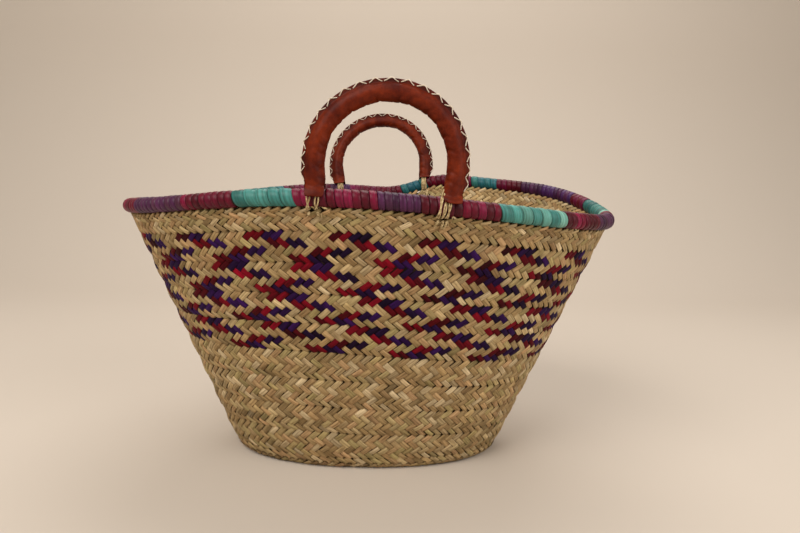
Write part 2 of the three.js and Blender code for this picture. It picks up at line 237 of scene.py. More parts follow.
def place(piece: Object, body: str, slot: str, *nodes: str) -> Object:
    """Hangs a finished piece on its body and hides the solids that it stands for.

    Args:
        piece: The piece.
        body: Body that it moves with.
        slot: Material slot of the record; not used.
        nodes: Solids that it stands for.

    Returns:
        The same piece.
    """
    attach(piece, body)
    if nodes:
        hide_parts(*nodes)
    LOG.info("%s: %d faces on %s", piece.name, len(piece.data.polygons), body)
    return piece


# Finishes


class Colour(Enum):
    """Dyes of the palm leaf, each with the screen colours that its strands vary between."""

    STRAW = (
        (176, 149, 107),
        (160, 135, 95),
        (192, 169, 128),
        (164, 148, 102),
        (186, 152, 113),
        (153, 128, 89),
        (203, 183, 147),
    )
    CRIMSON = ((104, 2, 18), (66, 2, 12), (132, 6, 30), (54, 4, 12))
    VIOLET = ((42, 10, 66), (28, 6, 42), (56, 18, 86), (26, 6, 34))
    TURQUOISE = ((134, 186, 172), (78, 148, 143), (46, 110, 108), (32, 98, 116))
    MAGENTA = ((130, 16, 62), (104, 3, 38), (78, 1, 22), (118, 14, 70))
    PURPLE = ((84, 42, 68), (84, 36, 78), (62, 24, 58), (76, 38, 104))

    def tints(self, picks: Array, shade: Array) -> Array:
        """Linear colours.

        Args:
            picks: Which of the colours, from 0 to 1, with the nearest two mixed.
            shade: Brightness of each.

        Returns:
            Four channels for each pick.
        """
        table = np.array([srgb(*colour) for colour in self.value])
        spot = np.clip(picks, 0, LAST_PICK) * (len(table) - 1)
        low = spot.astype(int)
        mixed = table[low] + (table[low + 1] - table[low]) * (spot - low)[:, None]
        mixed[:, :3] *= shade[:, None]
        return mixed


class Tree:
    """A node tree and the ways in which it is filled."""

    def __init__(self, tree: bpy.types.NodeTree) -> None:
        """Takes over a tree."""
        self.tree = tree

    def fill(self, node: bpy.types.Node, inputs: dict) -> None:
        """Sets or links inputs of a node.

        Args:
            node: The node.
            inputs: Value or source socket for each input, by name or number.
        """
        for key, value in inputs.items():
            if isinstance(value, Socket):
                self.tree.links.new(value, node.inputs[key])
            else:
                node.inputs[key].default_value = value

    def add(self, kind: str, inputs: dict | None = None, **settings: object) -> bpy.types.Node:
        """A new node.

        Args:
            kind: Type of the node.
            inputs: Value or source socket for each input, by name or number.
            settings: Properties of the node.

        Returns:
            The node.
        """
        node = self.tree.nodes.new(kind)
        for key, value in settings.items():
            setattr(node, key, value)
        self.fill(node, inputs or {})
        return node


class Shader(Tree):
    """Shader nodes of one new material."""

    def __init__(self, name: str) -> None:
        """Starts a material with a plain surface.

        Args:
            name: Material name.
        """
        self.material = bpy.data.materials.new(name)
        self.material.use_nodes = True
        super().__init__(self.material.node_tree)
        self.surface = self.tree.nodes["Principled BSDF"]

    def spot(self) -> Socket:
        """Place on the object."""
        return self.add("ShaderNodeTexCoord").outputs["Object"]

    def noise(self, vector: Socket, scale: float, detail: float = 3.0) -> Socket:
        """Noise read at a vector, as a value from 0 to 1."""
        inputs = {"Vector": vector, "Scale": scale, "Detail": detail}
        return self.add("ShaderNodeTexNoise", inputs).outputs["Fac"]

    def ends(self, value: Socket) -> Socket:
        """How near a value from 0 to 1 is to either end: 0 in the middle and 1 at the ends."""
        centred = self.add("ShaderNodeMath", {0: value, 1: 2.0, 2: -1.0}, operation="MULTIPLY_ADD")
        return self.add("ShaderNodeMath", {0: centred.outputs[0]}, operation="ABSOLUTE").outputs[0]

    def ramp(self, value: Socket, stops: tuple) -> Socket:
        """Colour between two stops.

        Args:
            value: Where between them.
            stops: Place and linear colour of each.

        Returns:
            The colour.
        """
        node = self.add("ShaderNodeValToRGB", {"Fac": value})
        for stop, (stop_at, colour) in zip(node.color_ramp.elements, stops):
            stop.position, stop.color = stop_at, colour
        return node.outputs["Color"]

    def times(self, share: float, first: Socket, second: Socket) -> Socket:
        """A colour multiplied by a share of another."""
        inputs = {"Factor": share, 6: first, 7: second}
        return self.add("ShaderNodeMix", inputs, data_type="RGBA", blend_type="MULTIPLY").outputs[2]

    def bump(self, height: Socket, strength: float, depth: float) -> None:
        """Fine relief on the surface."""
        inputs = {"Height": height, "Strength": strength, "Distance": depth}
        self.fill(self.surface, {"Normal": self.add("ShaderNodeBump", inputs).outputs["Normal"]})

    def finish(self, colour: Socket | tuple, roughness: float, gloss: float = 0.5) -> Material:
        """Sets the colour, roughness and gloss of the surface and gives its material."""
        self.fill(self.surface, {"Base Color": colour, "Roughness": roughness, "Specular IOR Level": gloss})
        return self.material


@dataclass(frozen=True)
class LeafFinish:
    """Palm leaf in the tint of each piece, streaked along its veins, with painted shade darkening its ends
    and edges where it meets and dives under its neighbours.
    """

    name: str
    roughness: float
    streak: float
    veins: float = 9.0
    relief: float = 0.35
    gloss: float = 0.09
    end_shade: float = 0.5
    edge_shade: float = 0.72
    joint: tuple = (0.16, 0.12, 0.09, 1)
    vein_run: float = 1.6
    vein_depth: float = 0.0004
    streaks: tuple = ((0.34, (0.42, 0.38, 0.32, 1)), (0.62, (1.06, 1.05, 1.02, 1)))
    patch_scale: float = 55.0
    patch: float = 0.7
    patches: tuple = ((0.32, (0.74, 0.72, 0.68, 1)), (0.66, (1.08, 1.06, 1.04, 1)))

    def material(self) -> Material:
        """Makes the material, which reads the tint and vein coordinates of the mesh.

        Returns:
            The material.
        """
        nodes = Shader(self.name)
        tint = nodes.add("ShaderNodeAttribute", attribute_name="tint").outputs["Color"]
        grain = nodes.add("ShaderNodeAttribute", attribute_name="grain").outputs["Vector"]
        leaf = nodes.add("ShaderNodeUVMap", uv_map="leaf").outputs["UV"]
        moved = nodes.add("ShaderNodeVectorMath", {0: leaf, 1: grain}, operation="ADD").outputs["Vector"]
        scale = (self.vein_run, self.veins, 1.0)
        drawn = nodes.add("ShaderNodeMapping", {"Vector": moved, "Scale": scale}).outputs["Vector"]
        veins = nodes.noise(drawn, 1.0)
        colour = nodes.times(self.streak, tint, nodes.ramp(veins, self.streaks))
        blotch = nodes.noise(nodes.spot(), self.patch_scale)
        colour = nodes.times(self.patch, colour, nodes.ramp(blotch, self.patches))
        parts = nodes.add("ShaderNodeSeparateXYZ", {"Vector": leaf}).outputs
        # Painted shade: the ends and long edges of each piece fade to a dark colour, for the shadow where it
        # dives under or meets its neighbours.
        for axis, start in (("X", self.end_shade), ("Y", self.edge_shade)):
            shade = nodes.ramp(nodes.ends(parts[axis]), ((start, WHITE), (1.0, self.joint)))
            colour = nodes.times(1.0, colour, shade)
        nodes.bump(veins, self.relief, self.vein_depth)
        return nodes.finish(colour, self.roughness, self.gloss)


@dataclass(frozen=True)
class LeatherFinish:
    """Brown hide with darker stains, worn paler spots and a fine grain."""

    name: str
    dark: tuple[int, int, int]
    pale: tuple[int, int, int]
    roughness: float = 0.5
    gloss: float = 0.13
    stain_noise: tuple = (48.0, 5.0)
    stain_span: tuple = (0.36, 0.62)
    wear_noise: tuple = (210.0, 4.0)
    wear: float = 0.75
    wear_stops: tuple = ((0.36, (0.72, 0.66, 0.62, 1)), (0.66, (1.1, 1.1, 1.1, 1)))
    grain_noise: tuple = (900.0, 2.0)
    grain: float = 0.8
    grain_stops: tuple = ((0.3, (0.8, 0.78, 0.75, 1)), (0.7, (1.05, 1.05, 1.05, 1)))
    relief: tuple = (0.35, 0.0006)

    def material(self) -> Material:
        """Makes the material.

        Returns:
            The material.
        """
        nodes = Shader(self.name)
        spot = nodes.spot()
        wear, grain = nodes.noise(spot, *self.wear_noise), nodes.noise(spot, *self.grain_noise)
        stops = tuple(zip(self.stain_span, (srgb(*self.dark), srgb(*self.pale))))
        colour = nodes.ramp(nodes.noise(spot, *self.stain_noise), stops)
        colour = nodes.times(self.wear, colour, nodes.ramp(wear, self.wear_stops))
        colour = nodes.times(self.grain, colour, nodes.ramp(grain, self.grain_stops))
        nodes.bump(wear, *self.relief)
        return nodes.finish(colour, self.roughness, self.gloss)


@dataclass(frozen=True)
class FibreFinish:
    """Twisted fibre or cord, mottled over its length."""

    name: str
    dark: tuple[int, int, int]
    pale: tuple[int, int, int]
    spots: float
    span: tuple = (0.34, 0.64)
    relief: tuple = (0.3, 0.0004)
    roughness: float = 0.85
    gloss: float = 0.2

    def material(self) -> Material:
        """Makes the material.

        Returns:
            The material.
        """
        nodes = Shader(self.name)
        mottle = nodes.noise(nodes.spot(), self.spots)
        stops = tuple(zip(self.span, (srgb(*self.dark), srgb(*self.pale))))
        nodes.bump(mottle, *self.relief)
        return nodes.finish(nodes.ramp(mottle, stops), self.roughness, self.gloss)


# Shapes set on points


@dataclass
class Placement:
    """Points that take a shape each, with the way it lies, its size and its tint."""

    at: Array
    along: Array
    facing: Array
    size: Array
    tint: Array
    grain: Array
    variant: Array

    @classmethod
    def joined(cls, several: list["Placement"]) -> "Placement":
        """One placement out of several."""
        return cls(*(np.concatenate([getattr(p, f.name) for p in several]) for f in fields(cls)))

    def mesh(self, name: str) -> bpy.types.Mesh:
        """Bare points that carry the lists as attributes.

        Args:
            name: Mesh name.

        Returns:
            The new mesh.
        """
        mesh = bpy.data.meshes.new(name)
        mesh.from_pydata(self.at.tolist(), [], [])
        kinds = {key: ("FLOAT_VECTOR", "vector", np.float32) for key in ("along", "facing", "size", "grain")}
        kinds |= {"tint": ("FLOAT_COLOR", "color", np.float32), "variant": ("INT", "value", np.int32)}
        for key, (kind, value, number) in kinds.items():
            layer = mesh.attributes.new(key, kind, "POINT")
            layer.data.foreach_set(value, np.ascontiguousarray(getattr(self, key), number).ravel())
        return mesh


class Scatter(Tree):
    """Geometry Nodes tree that sets one of a few shapes on each point."""

    def __init__(self) -> None:
        """Builds the tree."""
        super().__init__(bpy.data.node_groups.new("set_shapes_on_points", "GeometryNodeTree"))
        self.keys = {}
        for name, kind in (("Points", "Geometry"), ("Shapes", "Collection"), ("Finish", "Material")):
            self.keys[name] = self.socket(name, "INPUT", kind)
        self.socket("Pieces", "OUTPUT", "Geometry")
        entry = self.add("NodeGroupInput").outputs
        whole = {"Separate Children": True, "Reset Children": True}
        source = self.add("GeometryNodeCollectionInfo", {"Collection": entry["Shapes"], **whole})
        axes = {0: self.read("facing"), 1: self.read("along")}
        turn = self.add("FunctionNodeAxesToRotation", axes, primary_axis="Z", secondary_axis="X")
        spread = self.add(
            "GeometryNodeInstanceOnPoints",
            {
                "Points": entry["Points"],
                "Instance": source.outputs[0],
                "Pick Instance": True,
                "Instance Index": self.read("variant", "INT"),
                "Rotation": turn.outputs["Rotation"],
                "Scale": self.read("size"),
            },
        )
        real = self.add("GeometryNodeRealizeInstances", {"Geometry": spread.outputs["Instances"]})
        paint = {"Geometry": real.outputs["Geometry"], "Material": entry["Finish"]}
        pieces = self.add("GeometryNodeSetMaterial", paint).outputs["Geometry"]
        self.add("NodeGroupOutput", {"Pieces": pieces})

    def socket(self, name: str, way: str, kind: str) -> str:
        """Adds an input or output of the tree and gives its key."""
        made = self.tree.interface.new_socket(name, in_out=way, socket_type="NodeSocket" + kind)
        return made.identifier

    def read(self, name: str, kind: str = "FLOAT_VECTOR") -> Socket:
        """A named attribute of the points."""
        node = self.add("GeometryNodeInputNamedAttribute", {"Name": name}, data_type=kind)
        return node.outputs["Attribute"]

    def run(self, name: str, points: Placement, shapes: "ShapeSet", material: Material) -> Object:
        """Sets the shapes on the points and keeps the result as a plain mesh.

        Args:
            name: Name of the new piece.
            points: Where the shapes go.
            shapes: The shapes, picked by number in order of name.
            material: Material of the result.

        Returns:
            The new piece, at the origin.
        """
        source = add_object(name + "_points", points.mesh(name + "_points"))
        modifier = source.modifiers.new("set", "NODES")
        modifier.node_group = self.tree
        modifier[self.keys["Shapes"]] = shapes.collection
        modifier[self.keys["Finish"]] = material
        graph = bpy.context.evaluated_depsgraph_get()
        graph.update()
        made = bpy.data.meshes.new_from_object(
            source.evaluated_get(graph), preserve_all_data_layers=True, depsgraph=graph
        )
        made.name = name
        bpy.data.objects.remove(source)
        return add_object(name, made)


class ShapeSet:
    """A collection of small source shapes that is left out of the picture."""

    def __init__(self, name: str) -> None:
        """Starts the collection."""
        self.collection = bpy.data.collections.new(name)
        bpy.context.scene.collection.children.link(self.collection)

    def add(self, name: str, points: Array, columns: int, rows: int) -> None:
        """Adds a grid shape with its vein coordinates.

        Args:
            name: Shape name, which sets its number by order.
            points: Positions, row after row.
            columns: Points across the leaf.
            rows: Points along the leaf.
        """
        mesh = smooth_mesh(name, points, grid_faces(columns, rows))
        layer = mesh.uv_layers.new(name="leaf")
        corners = np.empty(len(mesh.loops), np.int32)
        mesh.loops.foreach_get("vertex_index", corners)
        spots = np.stack([corners // columns / (rows - 1), corners % columns / (columns - 1)], 1)
        layer.data.foreach_set("uv", spots.astype(np.float32).ravel())
        self.collection.objects.link(bpy.data.objects.new(name, mesh))

    def discard(self) -> None:
        """Removes the source shapes once they have been used."""
        for shape in list(self.collection.objects):
            bpy.data.objects.remove(shape)
        bpy.data.collections.remove(self.collection)


# Bag


@dataclass
class BagForm:
    """Shape of the bag and its rim line."""

    rim_half_width: float = 0.291
    rim_half_depth: float = 0.198
    rim_height: float = 0.3153
    base_half_width: float = 0.163
    base_half_depth: float = 0.090
    squareness: float = 2.1
    wall: float = 0.004
    rim_radius: float = 0.009
    seat_space: float = 0.0005
    rim_waves: tuple = (
        (0.004, 0.0081),
        (-0.0104, 0.0077),
        (-0.0011, 0.0034),
        (0.0, 0.0008),
        (-0.0013, -0.0002),
    )
    step_rise: float = 0.0129
    step_x: float = 0.065
    step_width: float = 0.040
    step_reach: float = 0.093
    course_rise: float = 0.008
    margin: float = 0.2
    search_steps: int = 4000

    def oval(self, half_width: float, half_depth: float, angles: Array, height: float) -> Array:
        """Points of a level oval.

        Args:
            half_width: Half its size along x.
            half_depth: Half its size along y.
            angles: Angle of each point.
            height: Its level.

        Returns:
            A point for each angle.
        """
        c, s = np.cos(angles), np.sin(angles)
        n = self.squareness
        reach = (np.abs(c) ** n + np.abs(s) ** n) ** (-1 / n)
        return np.stack([half_width * reach * c, half_depth * reach * s, np.full_like(c, height)], -1)

    def base(self, inset: float, angles: Array, height: float) -> Array:
        """Points of the base, a way in from its edge."""
        return self.oval(self.base_half_width - inset, self.base_half_depth - inset, angles, height)

    def rim(self, angles: Array) -> Array:
        """Centre line of the rim rope, with its waves and the step at the back.

        Args:
            angles: Angle of each point.

        Returns:
            A point for each angle.
        """
        points = self.oval(self.rim_half_width, self.rim_half_depth, angles, self.rim_height)
        for i, (cosine, sine) in enumerate(self.rim_waves, 1):
            points[..., 2] += cosine * np.cos(i * angles) + sine * np.sin(i * angles)
        past = points[..., 0] - self.step_x
        step = self.step_rise * np.tanh(past / self.step_width) * np.exp(-((past / self.step_reach) ** 2))
        points[..., 2] += np.where(points[..., 1] > 0, step, 0)
        return points

    def rim_frame(self, angles: Array, nudge: float = 1e-3) -> tuple[Array, Array, Array, Array]:
        """Rim line with its directions.

        Args:
            angles: Angle of each point.
            nudge: Angle over which the run is measured.

        Returns:
            The points, and at each the run of the rim, the way down the wall and the way out.
        """
        centre = self.rim(angles)
        along = unit(self.rim(angles + nudge) - self.rim(angles - nudge))
        down = self.base(0, angles, self.wall / 2) - centre
        down = unit(down - along * np.sum(down * along, -1, keepdims=True))
        return centre, along, down, np.cross(down, along)

    def climb(self, share: Array, angles: Array) -> Array:
        """How far a turn lies off its level, up the slope; base and rim keep theirs."""
        return -4 * self.course_rise * share * (1 - share) * np.cos(angles)

    def wall_point(self, share: Array, angles: Array, outward: Array) -> Array:
        """Points on the wall.

        Args:
            share: Share of the slope from the base to the rim.
            angles: Angle of each point.
            outward: How far each lies out from the middle of the wall.

        Returns:
            A point for each angle.
        """
        centre, _, down, out = self.rim_frame(angles)
        foot = self.base(0, angles, self.wall / 2)
        slope = centre + down * (self.rim_radius + self.seat_space) - foot
        level = np.asarray(share)[..., None] * slope + unit(slope) * self.climb(share, angles)[..., None]
        return foot + level + out * np.asarray(outward)[..., None]

    def even_angles(self, shares: Array) -> tuple[Array, float]:
        """Angles at even shares of the rim's length, and that length."""
        run = lengths(self.rim(FINE_TURN))
        return np.interp(np.mod(shares, 1) * run[-1], run, FINE_TURN), float(run[-1])

    def angle_at(self, x: float, is_back: bool) -> float:
        """Angle at which the front or back of the rim has this x."""
        angles = np.linspace(math.pi - self.margin, self.margin, self.search_steps) * (1 if is_back else -1)
        return float(np.interp(x, self.rim(angles)[:, 0], angles))


class Side(Enum):
    """Face of the plaited strip."""

    OUTER = 1
    INNER = -1


@dataclass
class Strip:
    """One turn of the plaited strip."""

    form: BagForm
    name: str
    rows: int = 4
    dyed: bool = False
    shift: float = 0.0
    pitch: float = 0.0098
    bulge: float = 0.0017
    seam: float = 0.6
    lift: float = 1.4

    def surface(self, t: Array, angles: Array, side: Side) -> Array:
        """Points on a face of the strip, t running from its low edge to its high one."""
        raise NotImplementedError

    def axes(self, t: float, angles: Array, side: Side, nudge: float = 1e-3) -> tuple[Array, Array, Array]:
        """Points on a face with their directions.

        Args:
            t: Share of the strip's width.
            angles: Angle of each point.
            side: Face of the strip.
            nudge: Angle and share over which the runs are measured.

        Returns:
            The points, and at each the run to the right and the run up.
        """
        here = np.full_like(angles, t)
        right = self.surface(here, angles + nudge, side) - self.surface(here, angles - nudge, side)
        up = self.surface(here + nudge, angles, side) - self.surface(here - nudge, angles, side)
        return self.surface(here, angles, side), unit(right), unit(up)


@dataclass
class WallStrip(Strip):
    """A turn on the sloping wall, between two shares of the slope, swelled between its seams."""

    low: float = 0.0
    high: float = 1.0

    def surface(self, t: Array, angles: Array, side: Side) -> Array:
        """Points on a face of the strip."""
        outward = side.value * self.form.wall / 2 + self.bulge * (4 * t * (1 - t) - self.seam)
        return self.form.wall_point(self.low + (self.high - self.low) * t, angles, outward)


@dataclass
class TopStrip(WallStrip):
    """The last turn, whose rows draw together and bend out under the rim."""

    squeeze: float = 0.4
    bend: float = 0.010
    flare: float = 0.0026

    def surface(self, t: Array, angles: Array, side: Side) -> Array:
        """Points on a face of the strip.

        Args:
            t: Share of the strip's width.
            angles: Angle of each point.
            side: Face of the strip.

        Returns:
            A point for each angle.
        """
        form = self.form
        centre, _, down, out = form.rim_frame(angles)
        seat = form.rim_radius + form.seat_space
        slope = np.linalg.norm(centre - form.base(0, angles, form.wall / 2), axis=-1) - seat
        below = (1 - self.low) * slope - form.climb(np.full_like(angles, self.low), angles)
        depth = seat + below * (1 - (1 + self.squeeze) * t + self.squeeze * t * t)
        lean = np.clip((seat + self.bend - depth) / self.bend, 0, 1)
        outward = side.value * (form.wall / 2 + self.flare * np.sin(angles) ** 2 * lean**1.5)
        return centre + down * depth[..., None] + out * outward[..., None]


@dataclass
class TurnStrip(Strip):
    """The lowest turn, which runs from under the base round its edge and up the wall."""

    rows: int = 3
    lift: float = 0.7
    high: float = 0.1
    inset: float = 0.012
    corner: float = 0.010
    clear: float = 0.0016
    slant: float = 1.06

    def surface(self, t: Array, angles: Array, side: Side) -> Array:
        """Points on a face of the strip.

        Args:
            t: Share of the strip's width.
            angles: Angle of each point.
            side: Face of the strip.

        Returns:
            A point for each angle.
        """
        half = side.value * self.form.wall / 2
        slope = self.form.rim_height * self.slant
        run = t * (self.inset + self.high * slope) - self.inset
        soft = 0.5 * (run + np.sqrt(run**2 + self.corner**2 / 4))
        tilt = smooth_step(-self.corner, self.corner, run)
        point = self.form.wall_point(soft / slope, angles, half * tilt)
        point[..., :2] *= 1 - ((soft - run) / np.linalg.norm(point[..., :2], axis=-1))[..., None]
        point[..., 2] = np.maximum(point[..., 2] - half * (1 - tilt), self.clear)
        return point


@dataclass
class FlatStrip(Strip):
    """A level ring of the base between two insets; its outer face looks down."""

    lift: float = 0.7
    inner_inset: float = 0.0524
    outer_inset: float = 0.0100
    clear: float = 0.0016

    def surface(self, t: Array, angles: Array, side: Side) -> Array:
        """Points on a face of the strip."""
        height = self.form.wall / 2 - side.value * (self.form.wall / 2 - self.clear)
        return self.form.base(self.inner_inset + (self.outer_inset - self.inner_inset) * t, angles, height)


@dataclass
class Plait:
    """Floats of the plaited strands: each passes over two others and dives under the next."""

    strands: int = 9
    dyes: tuple = (Colour.CRIMSON,) * 2 + (Colour.VIOLET,) * 2 + (Colour.STRAW,) * 5
    runs: tuple = (-1.3, -1.08, -0.86, -0.34, 0.34, 0.86, 1.08, 1.3)
    rise_mm: tuple = (-1.1, -0.12, 0.4, 0.6, 0.6, 0.4, -0.12, -1.1)
    across: tuple = (-0.5, -0.4, 0.4, 0.5)
    folds_mm: tuple = (
        ("leaf_0_smooth", (-0.55, 0.0, 0.0, -0.55)),
        ("leaf_1_creased", (-0.6, 0.16, -0.14, -0.45)),
        ("leaf_2_cupped", (-0.3, -0.15, 0.0, -0.5)),
    )
    fold_odds: tuple = (0.55, 0.25, 0.2)
    tip_start: float = 1.1
    tip_nip: float = 0.06
    swing: float = 0.035
    length_spread: float = 0.015
    fullness: float = 0.99
    seam_fullness: float = 0.92
    fullness_spread: float = 0.06
    full_limits: tuple = (0.8, 1.08)
    lift_spread: float = 0.22
    lift_limits: tuple = (0.5, 1.8)
    inner_shade: float = 1.18
    rising_shade: float = 0.95
    falling_shade: float = 1.04
    shade_spread: float = 0.13
    shade_limits: tuple = (0.6, 1.4)
    tone_spread: float = 0.08
    slip: float = 0.00025
    lift_slip: float = 0.00015
    seed: int = SEED

    def shapes(self) -> ShapeSet:
        """Three ways in which a float lies: smooth, creased and cupped.

        Returns:
            The shapes.
        """
        made = ShapeSet("plait_floats")
        for name, fold in self.folds_mm:
            points = [
                (x, y * (1 - self.tip_nip * (abs(x) > self.tip_start)), (z + dz) * MM)
                for x, z in zip(self.runs, self.rise_mm)
                for y, dz in zip(self.across, fold)
            ]
            made.add(name, np.array(points), len(self.across), len(self.runs))
        return made

    def row(
        self, strip: Strip, row: int, side: Side, count: int, tones: Array, rng: Rng
    ) -> Placement:
        """Floats of one row of a strip.

        Args:
            strip: The turn of the strip.
            row: Row number from the low edge.
            side: Face of the strip.
            count: Floats in the row.
            tones: Tone of each strand in this turn.
            rng: Source of the small irregularities.

        Returns:
            One point for each float.
        """
        t = (row + 0.5) / strip.rows
        rises = (row % 2 == 1) == (side is Side.OUTER)
        way = 1 if rises else -1
        strand = np.arange(count) - count // 2
        dense = ROUGH_TURN + 0.5 * math.pi
        run = lengths(strip.surface(np.full_like(dense, t), dense, side))
        step = run[-1] / count
        ahead = (strand + 0.5 * way * (1.5 + 2 * row) + strip.shift) * step
        angles = np.interp(np.mod(ahead + np.interp(1.5 * math.pi, dense, run), run[-1]), run, dense)
        at, right, up = strip.axes(t, angles, side)
        edges = [strip.surface(np.full_like(angles, t + e / strip.rows), angles, side) for e in (-0.5, 0.5)]
        tall = np.linalg.norm(edges[1] - edges[0], axis=-1)
        swing = rng.normal(0, self.swing, count)[:, None]
        along = unit(right * step + way * up * tall[:, None] + swing * (right - up) * step)
        facing = np.cross(right, up) * side.value
        width = np.sqrt((step**2 + tall**2) / 4)
        fullness = self.seam_fullness if row == 0 else self.fullness
        length = width * rng.normal(1.0, self.length_spread, count)
        full = np.clip(rng.normal(fullness, self.fullness_spread, count), *self.full_limits)
        lift = strip.lift * np.clip(rng.normal(1.0, self.lift_spread, count), *self.lift_limits)
        size = np.stack([length, step * tall / width / 2 * full, lift], 1)
        shade = np.clip(rng.normal(1.0, self.shade_spread, count), *self.shade_limits)
        # Painted sheen: floats that rise are a little darker and floats that fall a little lighter, as the
        # leaf's sheen looks under the light.
        shade *= self.rising_shade if rises else self.falling_shade
        shade *= self.inner_shade if side is Side.INNER else 1.0
        pick = np.clip(tones[strand] + rng.normal(0, self.tone_spread, count), 0, 1)
        dyes = [self.dyes[s % self.strands] if strip.dyed else Colour.STRAW for s in strand]
        tint = np.empty((count, 4))
        for dye in set(dyes):
            mask = np.array([d is dye for d in dyes])
            tint[mask] = dye.tints(pick[mask], shade[mask])
        grain = vein_starts(rng, count)
        fold = rng.choice(len(self.fold_odds), count, p=self.fold_odds)
        slip = rng.normal(0, self.slip, (count, 1)) * right
        slip += rng.normal(0, self.lift_slip, (count, 1)) * facing
        return Placement(at + slip, along, facing, size, tint, grain, fold)

    def floats(self, strip: Strip) -> Placement:
        """All floats of a turn, on both of its faces.

        Args:
            strip: The turn of the strip.

        Returns:
            One point for each float.
        """
        rng = np.random.default_rng([self.seed, *strip.name.encode()])
        middle = strip.surface(np.full_like(ROUGH_TURN, 0.5), ROUGH_TURN, Side.OUTER)
        count = round(lengths(middle)[-1] / strip.pitch)
        tones = rng.uniform(0, 1, count)
        rows = [self.row(strip, row, side, count, tones, rng) for side in Side for row in range(strip.rows)]
        return Placement.joined(rows)


@dataclass
class Bag:
    """The plaited bag: base, wall turns and the shaded under-strands between their faces."""

    form: BagForm
    scatter: Scatter
    handles: list["Handle"]
    rows: tuple = (1.6, *(4.1,) * 4, *(4.05,) * 4, 2.8)
    plain_shift: float = 2.3
    dye_shifts: tuple = (3.7, 4.95, 7.05, 1.95)
    dye_pitches: tuple = (0.0102, 0.01065, 0.00995, 0.00975)
    centre_inset: float = 0.0532
    centre_rows: int = 4
    centre_reach: int = 14
    centre_clear: float = 0.0011
    centre_spread: float = 0.08
    foot_clear: float = 0.0105
    foot_reach: float = 0.0155
    foot_drop: float = 0.0026
    foot_sink: float = 0.0004
    foot_press: tuple = (1.0, 0.95, 0.9)
    lowest: float = 0.0002
    sheet_half: float = 0.0004
    sheet_columns: int = 128
    sheet_insets: tuple = (0.08, 0.05, 0.02, 0.003)
    sheet_shares: tuple = (0.02, 0.99, 26)
    plait: Plait = field(default_factory=Plait)

    def strips(self) -> list[tuple[Strip, tuple[str, ...]]]:
        """The turns from the base up.

        Returns:
            Each turn, with the solids that it stands for.
        """
        form = self.form
        edges = np.cumsum((0, *self.rows)) / sum(self.rows)
        made: list[tuple[Strip, tuple[str, ...]]] = [
            (FlatStrip(form, "base_ring"), ("base_ring", "base_seam_cord_1", "base_seam_cord_2")),
            (TurnStrip(form, "base_turn_course", high=edges[1]), ("base_turn_course", "wall_seam_cord_1")),
        ]
        turns = [(f"lower_course_{i}", {"shift": self.plain_shift * i}) for i in range(1, 5)]
        for i, (shift, pitch) in enumerate(zip(self.dye_shifts, self.dye_pitches), 1):
            turns.append((f"dyed_course_{i}", {"dyed": True, "shift": shift, "pitch": pitch}))
        for number, (name, looks) in enumerate(turns, 1):
            strip = WallStrip(form, name, low=edges[number], high=edges[number + 1], **looks)
            made.append((strip, (name, f"wall_seam_cord_{number + 1}")))
        return [*made, (TopStrip(form, "top_course", low=edges[-2]), ("top_course",))]

    def clear_of_feet(self, points: Placement) -> None:
        """Draws the floats under the lashings down the wall, out of the way of the twine.

        Args:
            points: The floats, which are moved.
        """
        for handle in self.handles:
            for foot, angle in zip(handle.feet, handle.foot_angles):
                down = self.form.rim_frame(np.array([angle]))[2]
                away = points.at - np.array(foot)
                near = np.linalg.norm(away, axis=1) < self.foot_reach
                near &= np.abs(away[:, 0]) < self.foot_clear
                points.at[near] += self.foot_drop * down - self.foot_sink * points.facing[near]
                points.size[near] *= self.foot_press

    def centre_floats(self) -> Placement:
        """Floats of the oval piece in the middle of the base, laid in straight rows.

        Returns:
            One point for each float.
        """
        pitch = Strip.pitch
        cell = pitch / math.sqrt(2)
        rng = np.random.default_rng([self.plait.seed, CENTRE_DRAWS])
        half_width = self.form.base_half_width - self.centre_inset - pitch / 8
        half_depth = self.form.base_half_depth - self.centre_inset + pitch / 4
        columns = np.arange(-self.centre_reach, self.centre_reach + 1)
        made = []
        for side in Side:
            height = self.form.wall / 2 - side.value * (self.form.wall / 2 - self.centre_clear)
            for row in range(-self.centre_rows, self.centre_rows + 1):
                way = 1.0 if (row % 2 == 1) == (side is Side.OUTER) else -1.0
                xs, y = (columns + 0.25 * way) * pitch, row * pitch
                xs = xs[(xs / half_width) ** 2 + (y / half_depth) ** 2 < 1]
                count = len(xs)
                if count == 0:
                    continue
                at = np.stack([xs, np.full(count, y), np.full(count, height)], 1)
                lie = ((1.0, way, 0.0), (0.0, 0.0, -float(side.value)), (cell, cell, 1.0))
                along, facing, size = (np.tile(each, (count, 1)) for each in lie)
                shade = rng.uniform(0, 1, count), rng.normal(1, self.centre_spread, count)
                grain = rng.uniform(0, VEIN_SPREAD, (count, 3))
                fold = rng.choice(len(self.plait.folds_mm), count)
                made.append(Placement(at, along, facing, size, Colour.STRAW.tints(*shade), grain, fold))
        return Placement.joined(made)

    def settle(self, piece: Object) -> None:
        """Presses flat what would hang below the surface that the basket stands on."""
        for vertex in piece.data.vertices:
            vertex.co.z = max(vertex.co.z, self.lowest)

    def under_strands(self, material: Material) -> None:
        """The strands between the two faces, as a thin closed sheet in a dark colour: painted shade, for the
        shadow in which they lie under the floats.

        Args:
            material: Its material.
        """
        form, columns = self.form, self.sheet_columns
        angles = np.linspace(0, FULL_TURN, columns, endpoint=False)
        loops = []
        for outward in (self.sheet_half, -self.sheet_half):
            sheet = [form.base(inset, angles, form.wall / 2 - outward) for inset in self.sheet_insets]
            for share in np.linspace(*self.sheet_shares):
                sheet.append(form.wall_point(np.full(columns, share), angles, np.full(columns, outward)))
            loops += sheet if outward > 0 else sheet[::-1]
        solid = np.concatenate(loops), grid_faces(columns, len(loops), True, True)
        place(add_mesh("bag_under_strands", solid, material), "bag", "palm_straw")

